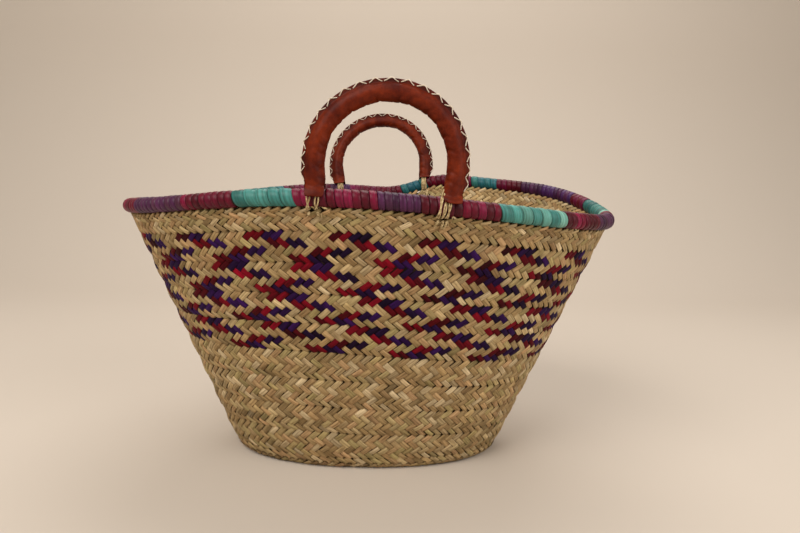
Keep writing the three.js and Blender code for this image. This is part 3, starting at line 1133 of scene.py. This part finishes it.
    def build(self) -> None:
        """Makes the base and every turn of the wall."""
        leaf = LeafFinish("palm_leaf", 0.62, 0.75).material()
        shapes = self.plait.shapes()
        centre = self.scatter.run("base_centre_plait", self.centre_floats(), shapes, leaf)
        place(centre, "bag", "palm_straw", "base_centre_strip")
        self.settle(centre)
        for strip, nodes in self.strips():
            points = self.plait.floats(strip)
            if isinstance(strip, TopStrip):
                self.clear_of_feet(points)
            piece = self.scatter.run(strip.name + "_plait", points, shapes, leaf)
            place(piece, "bag", "dyed_palm" if strip.dyed else "palm_straw", *nodes)
            if isinstance(strip, (FlatStrip, TurnStrip)):
                self.settle(piece)
        shapes.discard()
        # The dark colours of the sheet are painted shade.
        self.under_strands(FibreFinish("plait_shade", (30, 20, 10), (54, 38, 20), 120.0).material())


# Rim


class Binding(Enum):
    """Strips of the rim: colour of the solid, dye, and how many real turns an even turn holds."""

    T = ("turquoise", Colour.TURQUOISE, 0.9)
    M = ("magenta", Colour.MAGENTA, 1.3)
    V = ("violet", Colour.PURPLE, 1.4)


@dataclass
class BoundRim:
    """Rope round the mouth, bound turn beside turn with dyed palm strips."""

    form: BagForm
    scatter: Scatter
    band_colours: str = "TMVMTMTMVMTMVMVMTMVMTMVM"
    band_turns: tuple = (7, 3, 9, 4, 4, 7, 4, 8, 3, 7, 6, 6, 13, 11, 8, 6, 6, 8, 4, 8, 8, 6, 7, 2)
    band_lead: int = 3
    rope_radius: float = 0.0072
    rope_points: int = 240
    sides: int = 16
    across: tuple = (-0.52, -0.44, -0.22, 0.16, 0.42, 0.52)
    heights_mm: tuple = (
        ("turn_0_even", (7.7, 8.7, 9.15, 9.15, 8.75, 7.8)),
        ("turn_1_creased", (7.6, 8.6, 9.1, 8.75, 8.95, 7.8)),
        ("turn_2_full", (7.8, 8.95, 9.2, 9.05, 8.6, 7.6)),
    )
    height_odds: tuple = (0.5, 0.25, 0.25)
    slim: float = 0.12
    slim_span: tuple = (-0.1, 1.0)
    bulk_spread: float = 0.015
    overlap: float = 1.03
    width_spread: float = 0.05
    tilt_spread: float = 0.05
    shade_spread: float = 0.12
    shade_limits: tuple = (0.7, 1.35)
    back_pick: float = 0.32

    def shapes(self, pitch: float) -> ShapeSet:
        """Three turns of the binding: even, creased along and full on one side.

        Args:
            pitch: Run of the rim from turn to turn.

        Returns:
            The shapes.
        """
        made = ShapeSet("binding_turns")
        turns = np.linspace(0, FULL_TURN, self.sides + 1)
        for name, radii in self.heights_mm:
            points = [
                (pitch * (x - turn / FULL_TURN + 0.5), -r * MM * math.sin(turn), -r * MM * math.cos(turn))
                for turn in turns
                for x, r in zip(self.across, radii)
            ]
            made.add(name, np.array(points), len(self.across), len(turns))
        return made

    def band(self, start: int, width: int, binding: Binding, rng: Rng) -> Placement:
        """Turns of one band of colour.

        Args:
            start: Where it starts, in turns from the right end of the rim.
            width: How many even turns wide it is.
            binding: Its strip.
            rng: Source of the small irregularities.

        Returns:
            One point for each turn of the strip.
        """
        _, dye, fineness = binding.value
        turns = round(width * fineness)
        spots = start + (np.arange(turns) + 0.5) * width / turns
        angles, _ = self.form.even_angles(spots / sum(self.band_turns))
        centre, along, down, _ = self.form.rim_frame(angles)
        bulk = rng.normal(1.0, self.bulk_spread, turns)
        bulk -= self.slim * smooth_step(*self.slim_span, -np.cos(angles))
        size = np.stack([rng.normal(self.overlap, self.width_spread, turns) * width / turns, bulk, bulk], 1)
        along = unit(along + rng.normal(0, self.tilt_spread, (turns, 1)) * down)
        picks = rng.uniform(0, 1 - self.back_pick, turns) + self.back_pick * (np.sin(angles) > 0)
        tint = dye.tints(picks, np.clip(rng.normal(1, self.shade_spread, turns), *self.shade_limits))
        grain = vein_starts(rng, turns)
        kind = rng.choice(len(self.height_odds), turns, p=self.height_odds)
        return Placement(centre, along, -down, size, tint, grain, kind)

    def build(self) -> None:
        """Makes each band of colour and the rope inside."""
        rng = np.random.default_rng([SEED, RIM_DRAWS])
        rope_angles, length = self.form.even_angles(np.arange(self.rope_points) / self.rope_points)
        shapes = self.shapes(length / sum(self.band_turns))
        # Painted shade: the edges of each turn darken into dark lines, for the shadow in the grooves between
        # turns.
        leaf = LeafFinish(
            "dyed_strip", 0.42, 0.7, veins=8.0, relief=0.3, gloss=0.22, end_shade=2.0, edge_shade=0.55
        ).material()
        start = -self.band_lead
        for number, (letter, width) in enumerate(zip(self.band_colours, self.band_turns), 1):
            colour = Binding[letter].value[0]
            node = f"rim_band_{number:02d}_{colour}"
            points = self.band(start, width, Binding[letter], rng)
            place(self.scatter.run(node + "_turns", points, shapes, leaf), "bag", f"rim_{colour}", node)
            start += width
        shapes.discard()
        rope = sweep(self.form.rim(rope_angles), self.rope_radius, ROPE_SIDES, True)
        shade = FibreFinish("rope_shade", (40, 26, 18), (66, 46, 30), 160.0).material()
        place(add_mesh("rim_rope", rope, shade), "bag", "palm_cord", "rim_core")


# Handles


@dataclass
class Handle:
    """An arched handle: a rope in a laced leather sleeve, lashed to the rim by its feet.

    Flaps and tuck are angles by which the leather rolls round the rim, outside and inside.
    The strands list, for the left and the right foot, each bundle of twine with its place
    along the rim and the spread of its plies, in millimetres. Tails and the places of the
    fibres are in millimetres too. A row of the lip gives the rise in fin heights and in
    millimetres, the width in half fins and the share of the fin. A row of the stitch gives
    the run in steps, the share of its width, and the rise in fin heights and in millimetres.
    """

    form: BagForm
    scatter: Scatter
    name: str
    is_back: bool
    lean: float
    flaps: tuple[float, float]
    strands: tuple[tuple, tuple]
    seed: int
    tuck: float = 0.8
    flap_edge: tuple = (0.1, 0.42)
    foot_spacing: float = 0.128
    shift: float = 0.013
    rise: float = 0.1025
    draw_in: float = 0.003
    lop: float = 0.0026
    lop_at: float = 2.3
    lop_width: float = 0.75
    sleeve_radius: float = 0.0091
    sleeve_rows: int = 230
    foot_swell: float = 0.0008
    swell_span: tuple = (0.01, 0.045)
    lumps_mm: tuple = (0.22, 0.16)
    lump_skew: float = 0.03
    broad_waves: tuple = (3.1, 5.3, 8.7)
    fine_run: float = 9.0
    fine_waves: tuple = (0.5, 1.0, 1.5)
    crease_mm: float = 1.1
    crease_skew: float = 0.012
    crease_start: float = 0.1
    crease_waves: tuple = (17.0, 26.0, 37.0)
    crease_side: tuple = (0.9, 2.4)
    fin: float = 0.0037
    fin_half: float = 0.0017
    lip: tuple = (
        (1.0, -1.0, 0.0, 1.0),
        (1.0, 0.0, 0.4, 1.0),
        (1.0, -0.2, 0.8, 1.0),
        (1.0, -0.9, 1.0, 1.0),
        (0.5, 0.0, 1.05, 0.7),
        (0.12, 0.0, 1.25, 0.25),
    )
    lip_foot: float = 1.9
    tube_points: int = 22
    fin_span: tuple = (0.010, 0.026)
    scallop: float = 0.00012
    twist: tuple[float, float] = (-0.1, 0.4)
    twist_start: tuple[float, float] = (0.022, 0.06)
    leather: float = 0.0016
    clear_radius: float = 0.0129
    core_start: float = 0.0166
    core_play: float = 0.0008
    core_points: int = 60
    stitches: int = 19
    stitch_spread: float = 0.06
    lace: float = 0.00052
    lace_reach: float = 0.8
    stitch: tuple = ((0.14, 0.85, 0.0, 0.1), (0.3, 1.02, -0.4, 0.0), (0.5, 1.05, -0.8, 0.0))
    crossings: tuple = (("stitch_0_over", 1, 0.4), ("stitch_1_back", -1, 0.8))
    ply: float = 0.00085
    ply_thin: float = 0.00055
    loop_radius: float = 0.01085
    loop_growth: float = 0.06
    loop_points: int = 52
    loop_open: float = 0.62
    sway: float = 0.35
    sway_spread: float = 0.5
    sway_run: float = 6.0
    sway_waves: tuple = (1.0, 2.3)
    twists: tuple = (1.2, 1.8)
    neck: tuple = (0.003, 0.0165)
    neck_draw: float = 0.6
    neck_points: int = 8
    tail_start: float = 13.0
    tail_ends: tuple = ((15.5, 18.0), (21.0, 25.0))
    tail_sink: tuple = ((0, 0.5, 0.8, 1), (5.2, 4.4, 3.8, 1.6))
    tail_points: int = 10
    tail_drift: tuple = (0.8, 1.0)
    tail_wave: tuple = (0.4, 6.0)
    tail_spread: float = 0.8
    tail_twists: float = 1.6
    fibres: int = 5
    fibre: float = 0.00028
    fibre_points: int = 7
    fibre_aside: tuple = (-7.0, 7.0)
    fibre_drift: tuple = (0.0, 4.0)
    fibre_start: tuple = (13.0, 15.0)
    fibre_run: tuple = (2.0, 7.0)
    fibre_away: tuple = (5.0, 1.6)
    fibre_bow: tuple = (0.5, 2.0)

    def __post_init__(self) -> None:
        """Works out where the handle stands on the rim."""
        ends = [self.form.angle_at(self.shift + s * self.foot_spacing / 2, self.is_back) for s in (-1, 1)]
        left, right = (Vector(self.form.rim(np.array([a]))[0]) for a in ends)
        across = (right - left).normalized()
        depth = Vector((0, 0, 1)).cross(across).normalized()
        up = Matrix.Rotation(self.lean, 3, across) @ across.cross(depth)
        self.matrix = np.array(Matrix((across, up.cross(across), up)).transposed())
        self.middle = np.array((left + right) / 2)
        self.foot_angles = ends
        self.feet = [left, right]
        self.half = (right - left).length / 2
        self.radius = self.half + self.draw_in
        self.spring = self.rise - self.radius
        self.total = 2 * self.spring + math.pi * self.radius
        self.core_radius = self.sleeve_radius - self.leather - self.core_play

    def dress(self, look: str, solid: Solid, material: Material, slot: str, node: str) -> Object:
        """Adds a piece that swings with the handle, from points in the handle's own frame."""
        piece = add_mesh(f"{self.name}_{look}", (self.world(solid[0]), solid[1]), material)
        return place(piece, f"{self.name}_handle", slot, f"{self.name}_{node}")

    def world(self, points: Array) -> Array:
        """Points of the handle's own frame in the frame of the whole."""
        return points @ self.matrix.T + self.middle

    def arch(self, run: Array) -> tuple[Array, Array]:
        """Centre line of the handle, in its own frame.

        Args:
            run: Length along it from the left foot.

        Returns:
            The points, and the way outward at each.
        """
        turn = np.clip((run - self.spring) / self.radius, 0, math.pi)
        height = np.minimum(np.minimum(run, self.total - run), self.spring)
        is_leg = (run < self.spring) | (run > self.total - self.spring)
        side = np.where(run < self.total / 2, -1.0, 1.0)
        below = (self.spring - height) / self.spring
        x = np.where(is_leg, side * (self.radius - self.draw_in * below**2), -self.radius * np.cos(turn))
        z = np.where(is_leg, height, self.spring + self.radius * np.sin(turn))
        out = np.stack([-np.cos(turn), np.zeros_like(turn), np.sin(turn)], -1)
        full = self.lop * np.exp(-(((turn - self.lop_at) / self.lop_width) ** 2))
        full *= np.clip(z / self.spring, 0, 1)
        return np.stack([x, np.zeros_like(x), z], -1) + out * full[..., None], out

    def lean_over(self, run: Array) -> Array:
        """Angle by which the ridge leans towards the front, none of it at the feet."""
        free = smooth_step(*self.twist_start, np.minimum(run, self.total - run))
        return np.interp(run / self.total, (0, 1), self.twist) * free

    def section(self) -> Array:
        """Outline of the sleeve from its ridge round.

        Returns:
            Reach outward, reach aside and share of the fin at each point.
        """
        r, f, h = self.sleeve_radius, self.fin, self.fin_half
        lip = [(r + rise * f + more * MM, wide * h, share) for rise, more, wide, share in self.lip]
        turns = np.linspace(math.asin(self.lip_foot * h / r), math.pi, self.tube_points)
        tube = np.stack([r * np.cos(turns), r * np.sin(turns), np.zeros_like(turns)], 1)
        half = np.concatenate([lip, tube])
        return np.concatenate([half, half[-2:0:-1] * (1, -1, 1)])

    def flap_ends(self, spin: Array, aside: Array) -> tuple[Array, list[Array]]:
        """How far down each line of the sleeve goes before and after it rolls round the rim.

        Args:
            spin: Angle of each line round the rope.
            aside: Its reach aside.

        Returns:
            Height at which each line starts to roll, and its end at the left and right foot.
        """
        inside = (self.sleeve_radius - self.leather) * np.abs(np.sin(spin))
        turn_at = np.sqrt(self.clear_radius**2 - inside**2)
        cover = smooth_step(*self.flap_edge, np.abs(aside) / self.sleeve_radius)
        is_outside = aside > 0 if self.is_back else aside < 0
        ends = []
        for flap in self.flaps:
            rolled = np.where(is_outside, flap, self.tuck) - np.arcsin(inside / self.clear_radius)
            ends.append(turn_at - self.clear_radius * np.maximum(rolled, 0) * cover)
        return turn_at, ends

    def lumps(self, length: Array, spin: Array) -> Array:
        """Lumps of the leather, and creases on the side away from its ridge.

        Args:
            length: Share of the handle's length.
            spin: Angle round the rope.

        Returns:
            How far the leather stands out.
        """
        broad, fine = self.lumps_mm
        lumps = broad * waves(length + self.lump_skew * np.sin(spin), self.seed + 1, self.broad_waves)
        along = length * self.fine_run + spin / math.pi
        lumps = lumps + fine * waves(along, self.seed + 2, self.fine_waves)
        folds = waves(length + self.crease_skew * np.sin(2 * spin), self.seed + 3, self.crease_waves)
        creases = self.crease_mm * np.maximum(folds - self.crease_start, 0)
        return MM * (lumps - creases * smooth_step(*self.crease_side, np.abs(spin)))

    def sleeve(self, leather: Material, edge: Material) -> None:
        """Leather tube with lumps and creases, pinched to a scalloped fin along its outer ridge.

        Args:
            leather: Material of the hide.
            edge: Material of the fin.
        """
        rows = self.sleeve_rows
        reach, aside, fin_share = self.section().T
        spin = np.arctan2(aside, reach)
        turn_at, (left, right) = self.flap_ends(spin, aside)
        run = left + np.linspace(0, 1, rows)[:, None] * (self.total - left - right)
        height = np.minimum(run, self.total - run)
        held = np.maximum(height, turn_at)
        roll = (held - height) / self.clear_radius
        centre, out = self.arch(np.where(run < self.total / 2, held, self.total - held))
        length, lean = run / self.total, self.lean_over(run)
        swell = self.foot_swell * (1 - smooth_step(*self.swell_span, height))
        grow = swell + self.lumps(length, spin) * (1 - fin_share)
        over = np.maximum(reach - self.sleeve_radius, 0) * (1 - smooth_step(*self.fin_span, height))
        scallop = self.scallop * np.cos(FULL_TURN * self.stitches * length) * fin_share
        bare = self.sleeve_radius + swell - self.leather
        skins = (
            (reach - over + grow * np.cos(spin) - scallop, aside + grow * np.sin(spin) * (1 - fin_share)),
            (bare * np.cos(spin), bare * np.sin(spin)),
        )
        layers = []
        for upright, across in skins:
            outward = upright * np.cos(lean) + across * np.sin(lean)
            sideways = across * np.cos(lean) - upright * np.sin(lean)
            x, z = centre[..., 0] + out[..., 0] * outward, centre[..., 2] + out[..., 2] * outward
            y = sideways * np.cos(roll) + np.sign(sideways) * z * np.sin(roll)
            layers.append(np.stack([x, y, z * np.cos(roll) - np.abs(sideways) * np.sin(roll)], -1))
        points = np.concatenate([layers[0], layers[1][::-1]]).reshape(-1, 3)
        faces = [face[::-1] for face in grid_faces(len(reach), 2 * rows, True, True)]
        piece = self.dress("handle_leather", (points, faces), leather, "saddle_leather", "handle_sleeve")
        piece.data.materials.append(edge)
        slots = np.zeros((2 * rows, len(reach)), int)
        slots[: rows - 1] = fin_share > 0
        piece.data.polygons.foreach_set("material_index", slots.ravel())

    def stitches_of_lace(self, step: float, sides: int = CORD_SIDES) -> ShapeSet:
        """The two stitches that cross on the ridge.

        Args:
            step: Run of the ridge from hole to hole.
            sides: Sides of the cord.

        Returns:
            The shapes.
        """
        wide = self.fin_half + self.lace_reach * self.lace
        run, aside, rise, more = np.array(self.stitch).T
        falling = np.stack([run * step, aside * wide, rise * self.fin + more * MM], 1)
        shapes = ShapeSet("lace_stitches")
        for name, flip, crown in self.crossings:
            route = np.concatenate([falling[::-1] * (-1, -1, 1), [(0.0, 0.0, crown * MM)], falling])
            rings = sweep(route * (1, flip, 1), self.lace, sides)[0].reshape(len(route), sides, 3)
            closed = np.concatenate([rings, rings[:, :1]], 1)
            shapes.add(name, closed.reshape(-1, 3), sides + 1, len(route))
        return shapes

    def lacing(self, material: Material) -> None:
        """Cord laced both ways over the fin, so that it crosses on the ridge between two holes.

        Args:
            material: Material of the cord.
        """
        step = (self.total - 2 * self.core_start) / self.stitches
        shapes = self.stitches_of_lace(step)
        count = 2 * self.stitches
        run = self.core_start + (np.arange(count) // 2 + 0.5) * step
        centre, out = self.arch(run)
        lean = self.lean_over(run)[:, None]
        ridge = out * np.cos(lean) - np.sin(lean) * (0.0, 1.0, 0.0)
        along = np.stack([out[:, 2], np.zeros(count), -out[:, 0]], 1)
        rng = np.random.default_rng([SEED, self.seed, LACE_DRAWS])
        points = Placement(
            self.world(centre + ridge * (self.sleeve_radius + self.fin)),
            along @ self.matrix.T,
            ridge @ self.matrix.T,
            np.stack([rng.normal(1.0, self.stitch_spread, count), np.ones(count), np.ones(count)], 1),
            np.ones((count, 4)),
            rng.uniform(0, VEIN_SPREAD, (count, 3)),
            np.arange(count) % 2,
        )
        piece = self.scatter.run(f"{self.name}_handle_lace", points, shapes, material)
        shapes.discard()
        place(piece, f"{self.name}_handle", "lace_cord", f"{self.name}_handle_lacing")

    def core(self, material: Material) -> None:
        """Rope inside the sleeve.

        Args:
            material: Material of the rope.
        """
        run = np.linspace(self.core_start, self.total - self.core_start, self.core_points)
        rope = sweep(self.arch(run)[0], self.core_radius, ROPE_SIDES)
        self.dress("handle_rope", rope, material, "palm_cord", "handle_core")

    def twine(self, path: Array, spread: float, twists: float) -> Solid:
        """Two plies twisted round a path.

        Args:
            path: Points of the middle line.
            spread: How far the plies part sideways.
            twists: Number of twists over the whole length.

        Returns:
            Corner positions and faces.
        """
        along = unit(np.gradient(path, axis=0))
        side = unit(np.cross(along, [1.0, 0.0, 0.0]) + 1e-9)
        other = np.cross(along, side)
        turn = FULL_TURN * twists * np.linspace(0, 1, len(path))[:, None]
        parts = []
        for phase in (0, math.pi):
            offset = self.ply_thin * np.cos(turn + phase) * side + spread * np.sin(turn + phase) * other
            parts.append(sweep(path + offset, self.ply, CORD_SIDES))
        return join_parts(parts)

    def lashing(self, end: int, side: str, material: Material) -> None:
        """Bundles of twisted twine from the sleeve's mouth round the rim and back.

        Args:
            end: Number of the foot.
            side: Its name.
            material: Material of the twine.
        """
        rng = np.random.default_rng([SEED, self.seed, LASHING_DRAWS + end])
        angles = np.linspace(self.loop_open, -math.pi - self.loop_open, self.loop_points)
        neck_y, neck_z = self.neck
        parts = []
        for x, spread in self.strands[end]:
            sway = rng.normal(0, self.sway_spread) * np.sin(angles)
            sway += self.sway * waves(angles / self.sway_run, self.seed + end, self.sway_waves)
            loop = self.loop_radius + self.loop_growth * MM * abs(x)
            ring = np.stack([(x + sway) * MM, loop * np.cos(angles), loop * np.sin(angles)], 1)
            first, last = (np.array([self.neck_draw * x * MM, y, neck_z]) for y in (neck_y, -neck_y))
            rise = ring[0] + np.linspace(1, 0, self.neck_points)[:-1, None] * (first - ring[0])
            fall = ring[-1] + np.linspace(0, 1, self.neck_points)[1:, None] * (last - ring[-1])
            path = np.concatenate([rise, ring, fall])
            parts.append(self.twine(path, spread * MM, rng.uniform(*self.twists)))
        points, faces = join_parts(parts)
        points[:, 0] += self.half if end else -self.half
        self.dress(f"{side}_twine", (points, faces), material, "palm_cord", f"{side}_lashing")

    def tails(self, end: int, side: str, material: Material) -> None:
        """Ends of the twine that dive into the plait under the rim, and a few stray fibres.

        Args:
            end: Number of the foot.
            side: Its name.
            material: Material of the twine.
        """
        rng = np.random.default_rng([SEED, self.seed, TAIL_DRAWS + end])
        centre, along, down, out = (v[0] for v in self.form.rim_frame(np.array([self.foot_angles[end]])))
        face = -1.0 if self.is_back else 1.0
        ways = MM * np.stack([face * along, down, face * out])
        (bend, bends), (away_start, away_fall) = self.tail_wave, self.fibre_away
        parts = []
        for x, _ in self.strands[end]:
            depth = np.linspace(self.tail_start, rng.uniform(*self.tail_ends[end]), self.tail_points)
            share = np.linspace(0, 1, self.tail_points)
            aside = x + rng.normal(*self.tail_drift) * share + bend * np.sin(bends * share)
            path = centre + np.stack([aside, depth, np.interp(share, *self.tail_sink)], 1) @ ways
            parts.append(self.twine(path, self.ply * self.tail_spread, self.tail_twists))
        for _ in range(self.fibres):
            share = np.linspace(0, 1, self.fibre_points)
            aside = rng.uniform(*self.fibre_aside) + rng.normal(*self.fibre_drift) * share
            depth = rng.uniform(*self.fibre_start) + rng.uniform(*self.fibre_run) * share
            away = away_start - away_fall * share + rng.uniform(*self.fibre_bow) * np.sin(math.pi * share)
            path = centre + np.stack([aside, depth, away], 1) @ ways
            parts.append(sweep(path, self.fibre, FIBRE_SIDES))
        place(add_mesh(f"{self.name}_{side}_tails", join_parts(parts), material), "bag", "palm_cord")

    def build(self, finishes: dict[str, Material]) -> None:
        """Makes the sleeve, lacing, rope, both lashings and their ends.

        Args:
            finishes: Materials by name.
        """
        self.sleeve(finishes["leather"], finishes["edge"])
        self.lacing(finishes["lace"])
        self.core(finishes["twine"])
        for end, side in enumerate(("left", "right")):
            self.lashing(end, side, finishes["twine"])
            self.tails(end, side, finishes["twine"])


# Studio


@dataclass
class Studio:
    """Pale floor, soft lights and the camera."""

    eye: tuple = (0.0103, -0.8208, 0.339)
    pitch: float = 0.13
    yaw: float = 0.033
    roll: float = -0.027
    lens: float = 29.07
    sensor: float = 36.0
    clip: tuple = (0.02, 50.0)
    floor_half: float = 4.0
    floor_colour: tuple = (198, 187, 174)
    floor_roughness: float = 0.9
    cove_start: float = 1.0
    cove_radius: float = 0.9
    cove_steps: int = 13
    sky_colour: tuple = (212, 202, 190)
    sky_strength: float = 0.55
    aim: tuple = (0, 0, 0.2)
    lights: tuple = (
        ("key", (-1.1, -1.5, 2.0), 1.6, 50.0, (1.0, 0.96, 0.91)),
        ("fill", (1.7, -1.3, 1.1), 1.8, 24.0, (1.0, 0.98, 0.96)),
        ("top", (0.2, 0.9, 2.2), 1.8, 30.0, (1.0, 0.97, 0.94)),
    )

    def camera(self) -> None:
        """Camera at the height and angle of the photo."""
        cos, sin = math.cos, math.sin
        ahead = Vector((sin(self.yaw) * cos(self.pitch), cos(self.yaw) * cos(self.pitch), -sin(self.pitch)))
        right = Vector((cos(self.yaw), -sin(self.yaw), 0))
        down = ahead.cross(right)
        picture_right = right * cos(self.roll) + down * sin(self.roll)
        picture_down = down * cos(self.roll) - right * sin(self.roll)
        data = bpy.data.cameras.new("camera")
        data.lens, data.sensor_width = self.lens, self.sensor
        data.clip_start, data.clip_end = self.clip
        camera = add_object("camera", data)
        turn = Matrix((picture_right, -picture_down, -ahead)).transposed().to_4x4()
        camera.matrix_world = Matrix.Translation(self.eye) @ turn
        bpy.context.scene.camera = camera

    def light(self, name: str, at: tuple, size: float, power: float, colour: tuple) -> None:
        """A square soft light aimed at the middle of the basket.

        Args:
            name: Its name.
            at: Where it hangs.
            size: Side of the square.
            power: Its power in watts.
            colour: Its linear colour.
        """
        data = bpy.data.lights.new(name, "AREA")
        data.size, data.energy, data.color = size, power, colour
        lamp = add_object(name, data)
        lamp.location = at
        lamp.rotation_euler = (Vector(self.aim) - Vector(at)).to_track_quat("-Z", "Y").to_euler()

    def floor(self) -> None:
        """A pale sheet that bends up behind the basket."""
        turns = np.linspace(0, math.pi / 2, self.cove_steps)
        bend_y = self.cove_start + self.cove_radius * np.sin(turns)
        bend_z = self.cove_radius * (1 - np.cos(turns))
        run = [(-self.floor_half, 0.0), *zip(bend_y, bend_z), (bend_y[-1], self.floor_half)]
        sheet = np.array([(x, y, z) for y, z in run for x in (-self.floor_half, self.floor_half)])
        pale = Shader("pale_floor").finish(srgb(*self.floor_colour), self.floor_roughness)
        add_mesh("floor", (sheet, grid_faces(2, len(run))), pale)

    def build(self) -> None:
        """Sets up floor, background, lights and camera."""
        self.floor()
        world = bpy.data.worlds.new("studio")
        world.use_nodes = True
        sky = {"Color": srgb(*self.sky_colour), "Strength": self.sky_strength}
        Tree(world.node_tree).fill(world.node_tree.nodes["Background"], sky)
        bpy.context.scene.world = world
        bpy.context.scene.view_settings.view_transform = "Standard"
        for light in self.lights:
            self.light(*light)
        self.camera()


FRONT_TWINE = (((-7.6, 1.6), (0.6, 1.6)), ((-9.2, 1.0), (-4.8, 0.9), (-0.6, 1.1)))
BACK_TWINE = (((-2.8, 1.4), (2.2, 1.4)), ((-2.4, 0.8), (0.1, 0.8), (2.5, 0.8)))
BACK_SLEEVE = {"sleeve_radius": 0.0081, "fin": 0.0046, "twist": (0.35, 0.45)}


def main() -> None:
    """Builds the basket piece by piece, then the studio round it."""
    logging.basicConfig(level=logging.INFO, format="%(name)s %(message)s")
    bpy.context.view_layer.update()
    form, scatter = BagForm(), Scatter()
    handles = [
        Handle(form, scatter, "front", False, 0.05, (1.32, 1.12), FRONT_TWINE, 100),
        Handle(form, scatter, "back", True, -0.22, (1.2, 1.2), BACK_TWINE, 200, **BACK_SLEEVE),
    ]
    Bag(form, scatter, handles).build()
    BoundRim(form, scatter).build()
    finishes = {
        "leather": LeatherFinish("saddle_leather", (76, 16, 2), (114, 37, 9)).material(),
        "edge": LeatherFinish("dark_leather_edge", (62, 18, 10), (98, 34, 18), 0.6).material(),
        "lace": FibreFinish("lace_cord", (196, 180, 156), (226, 214, 196), 500.0).material(),
        "twine": FibreFinish("palm_twine", (146, 122, 82), (212, 190, 146), 320.0).material(),
    }
    for handle in handles:
        handle.build(finishes)
    Studio().build()


if __name__ == "__main__":
    main()
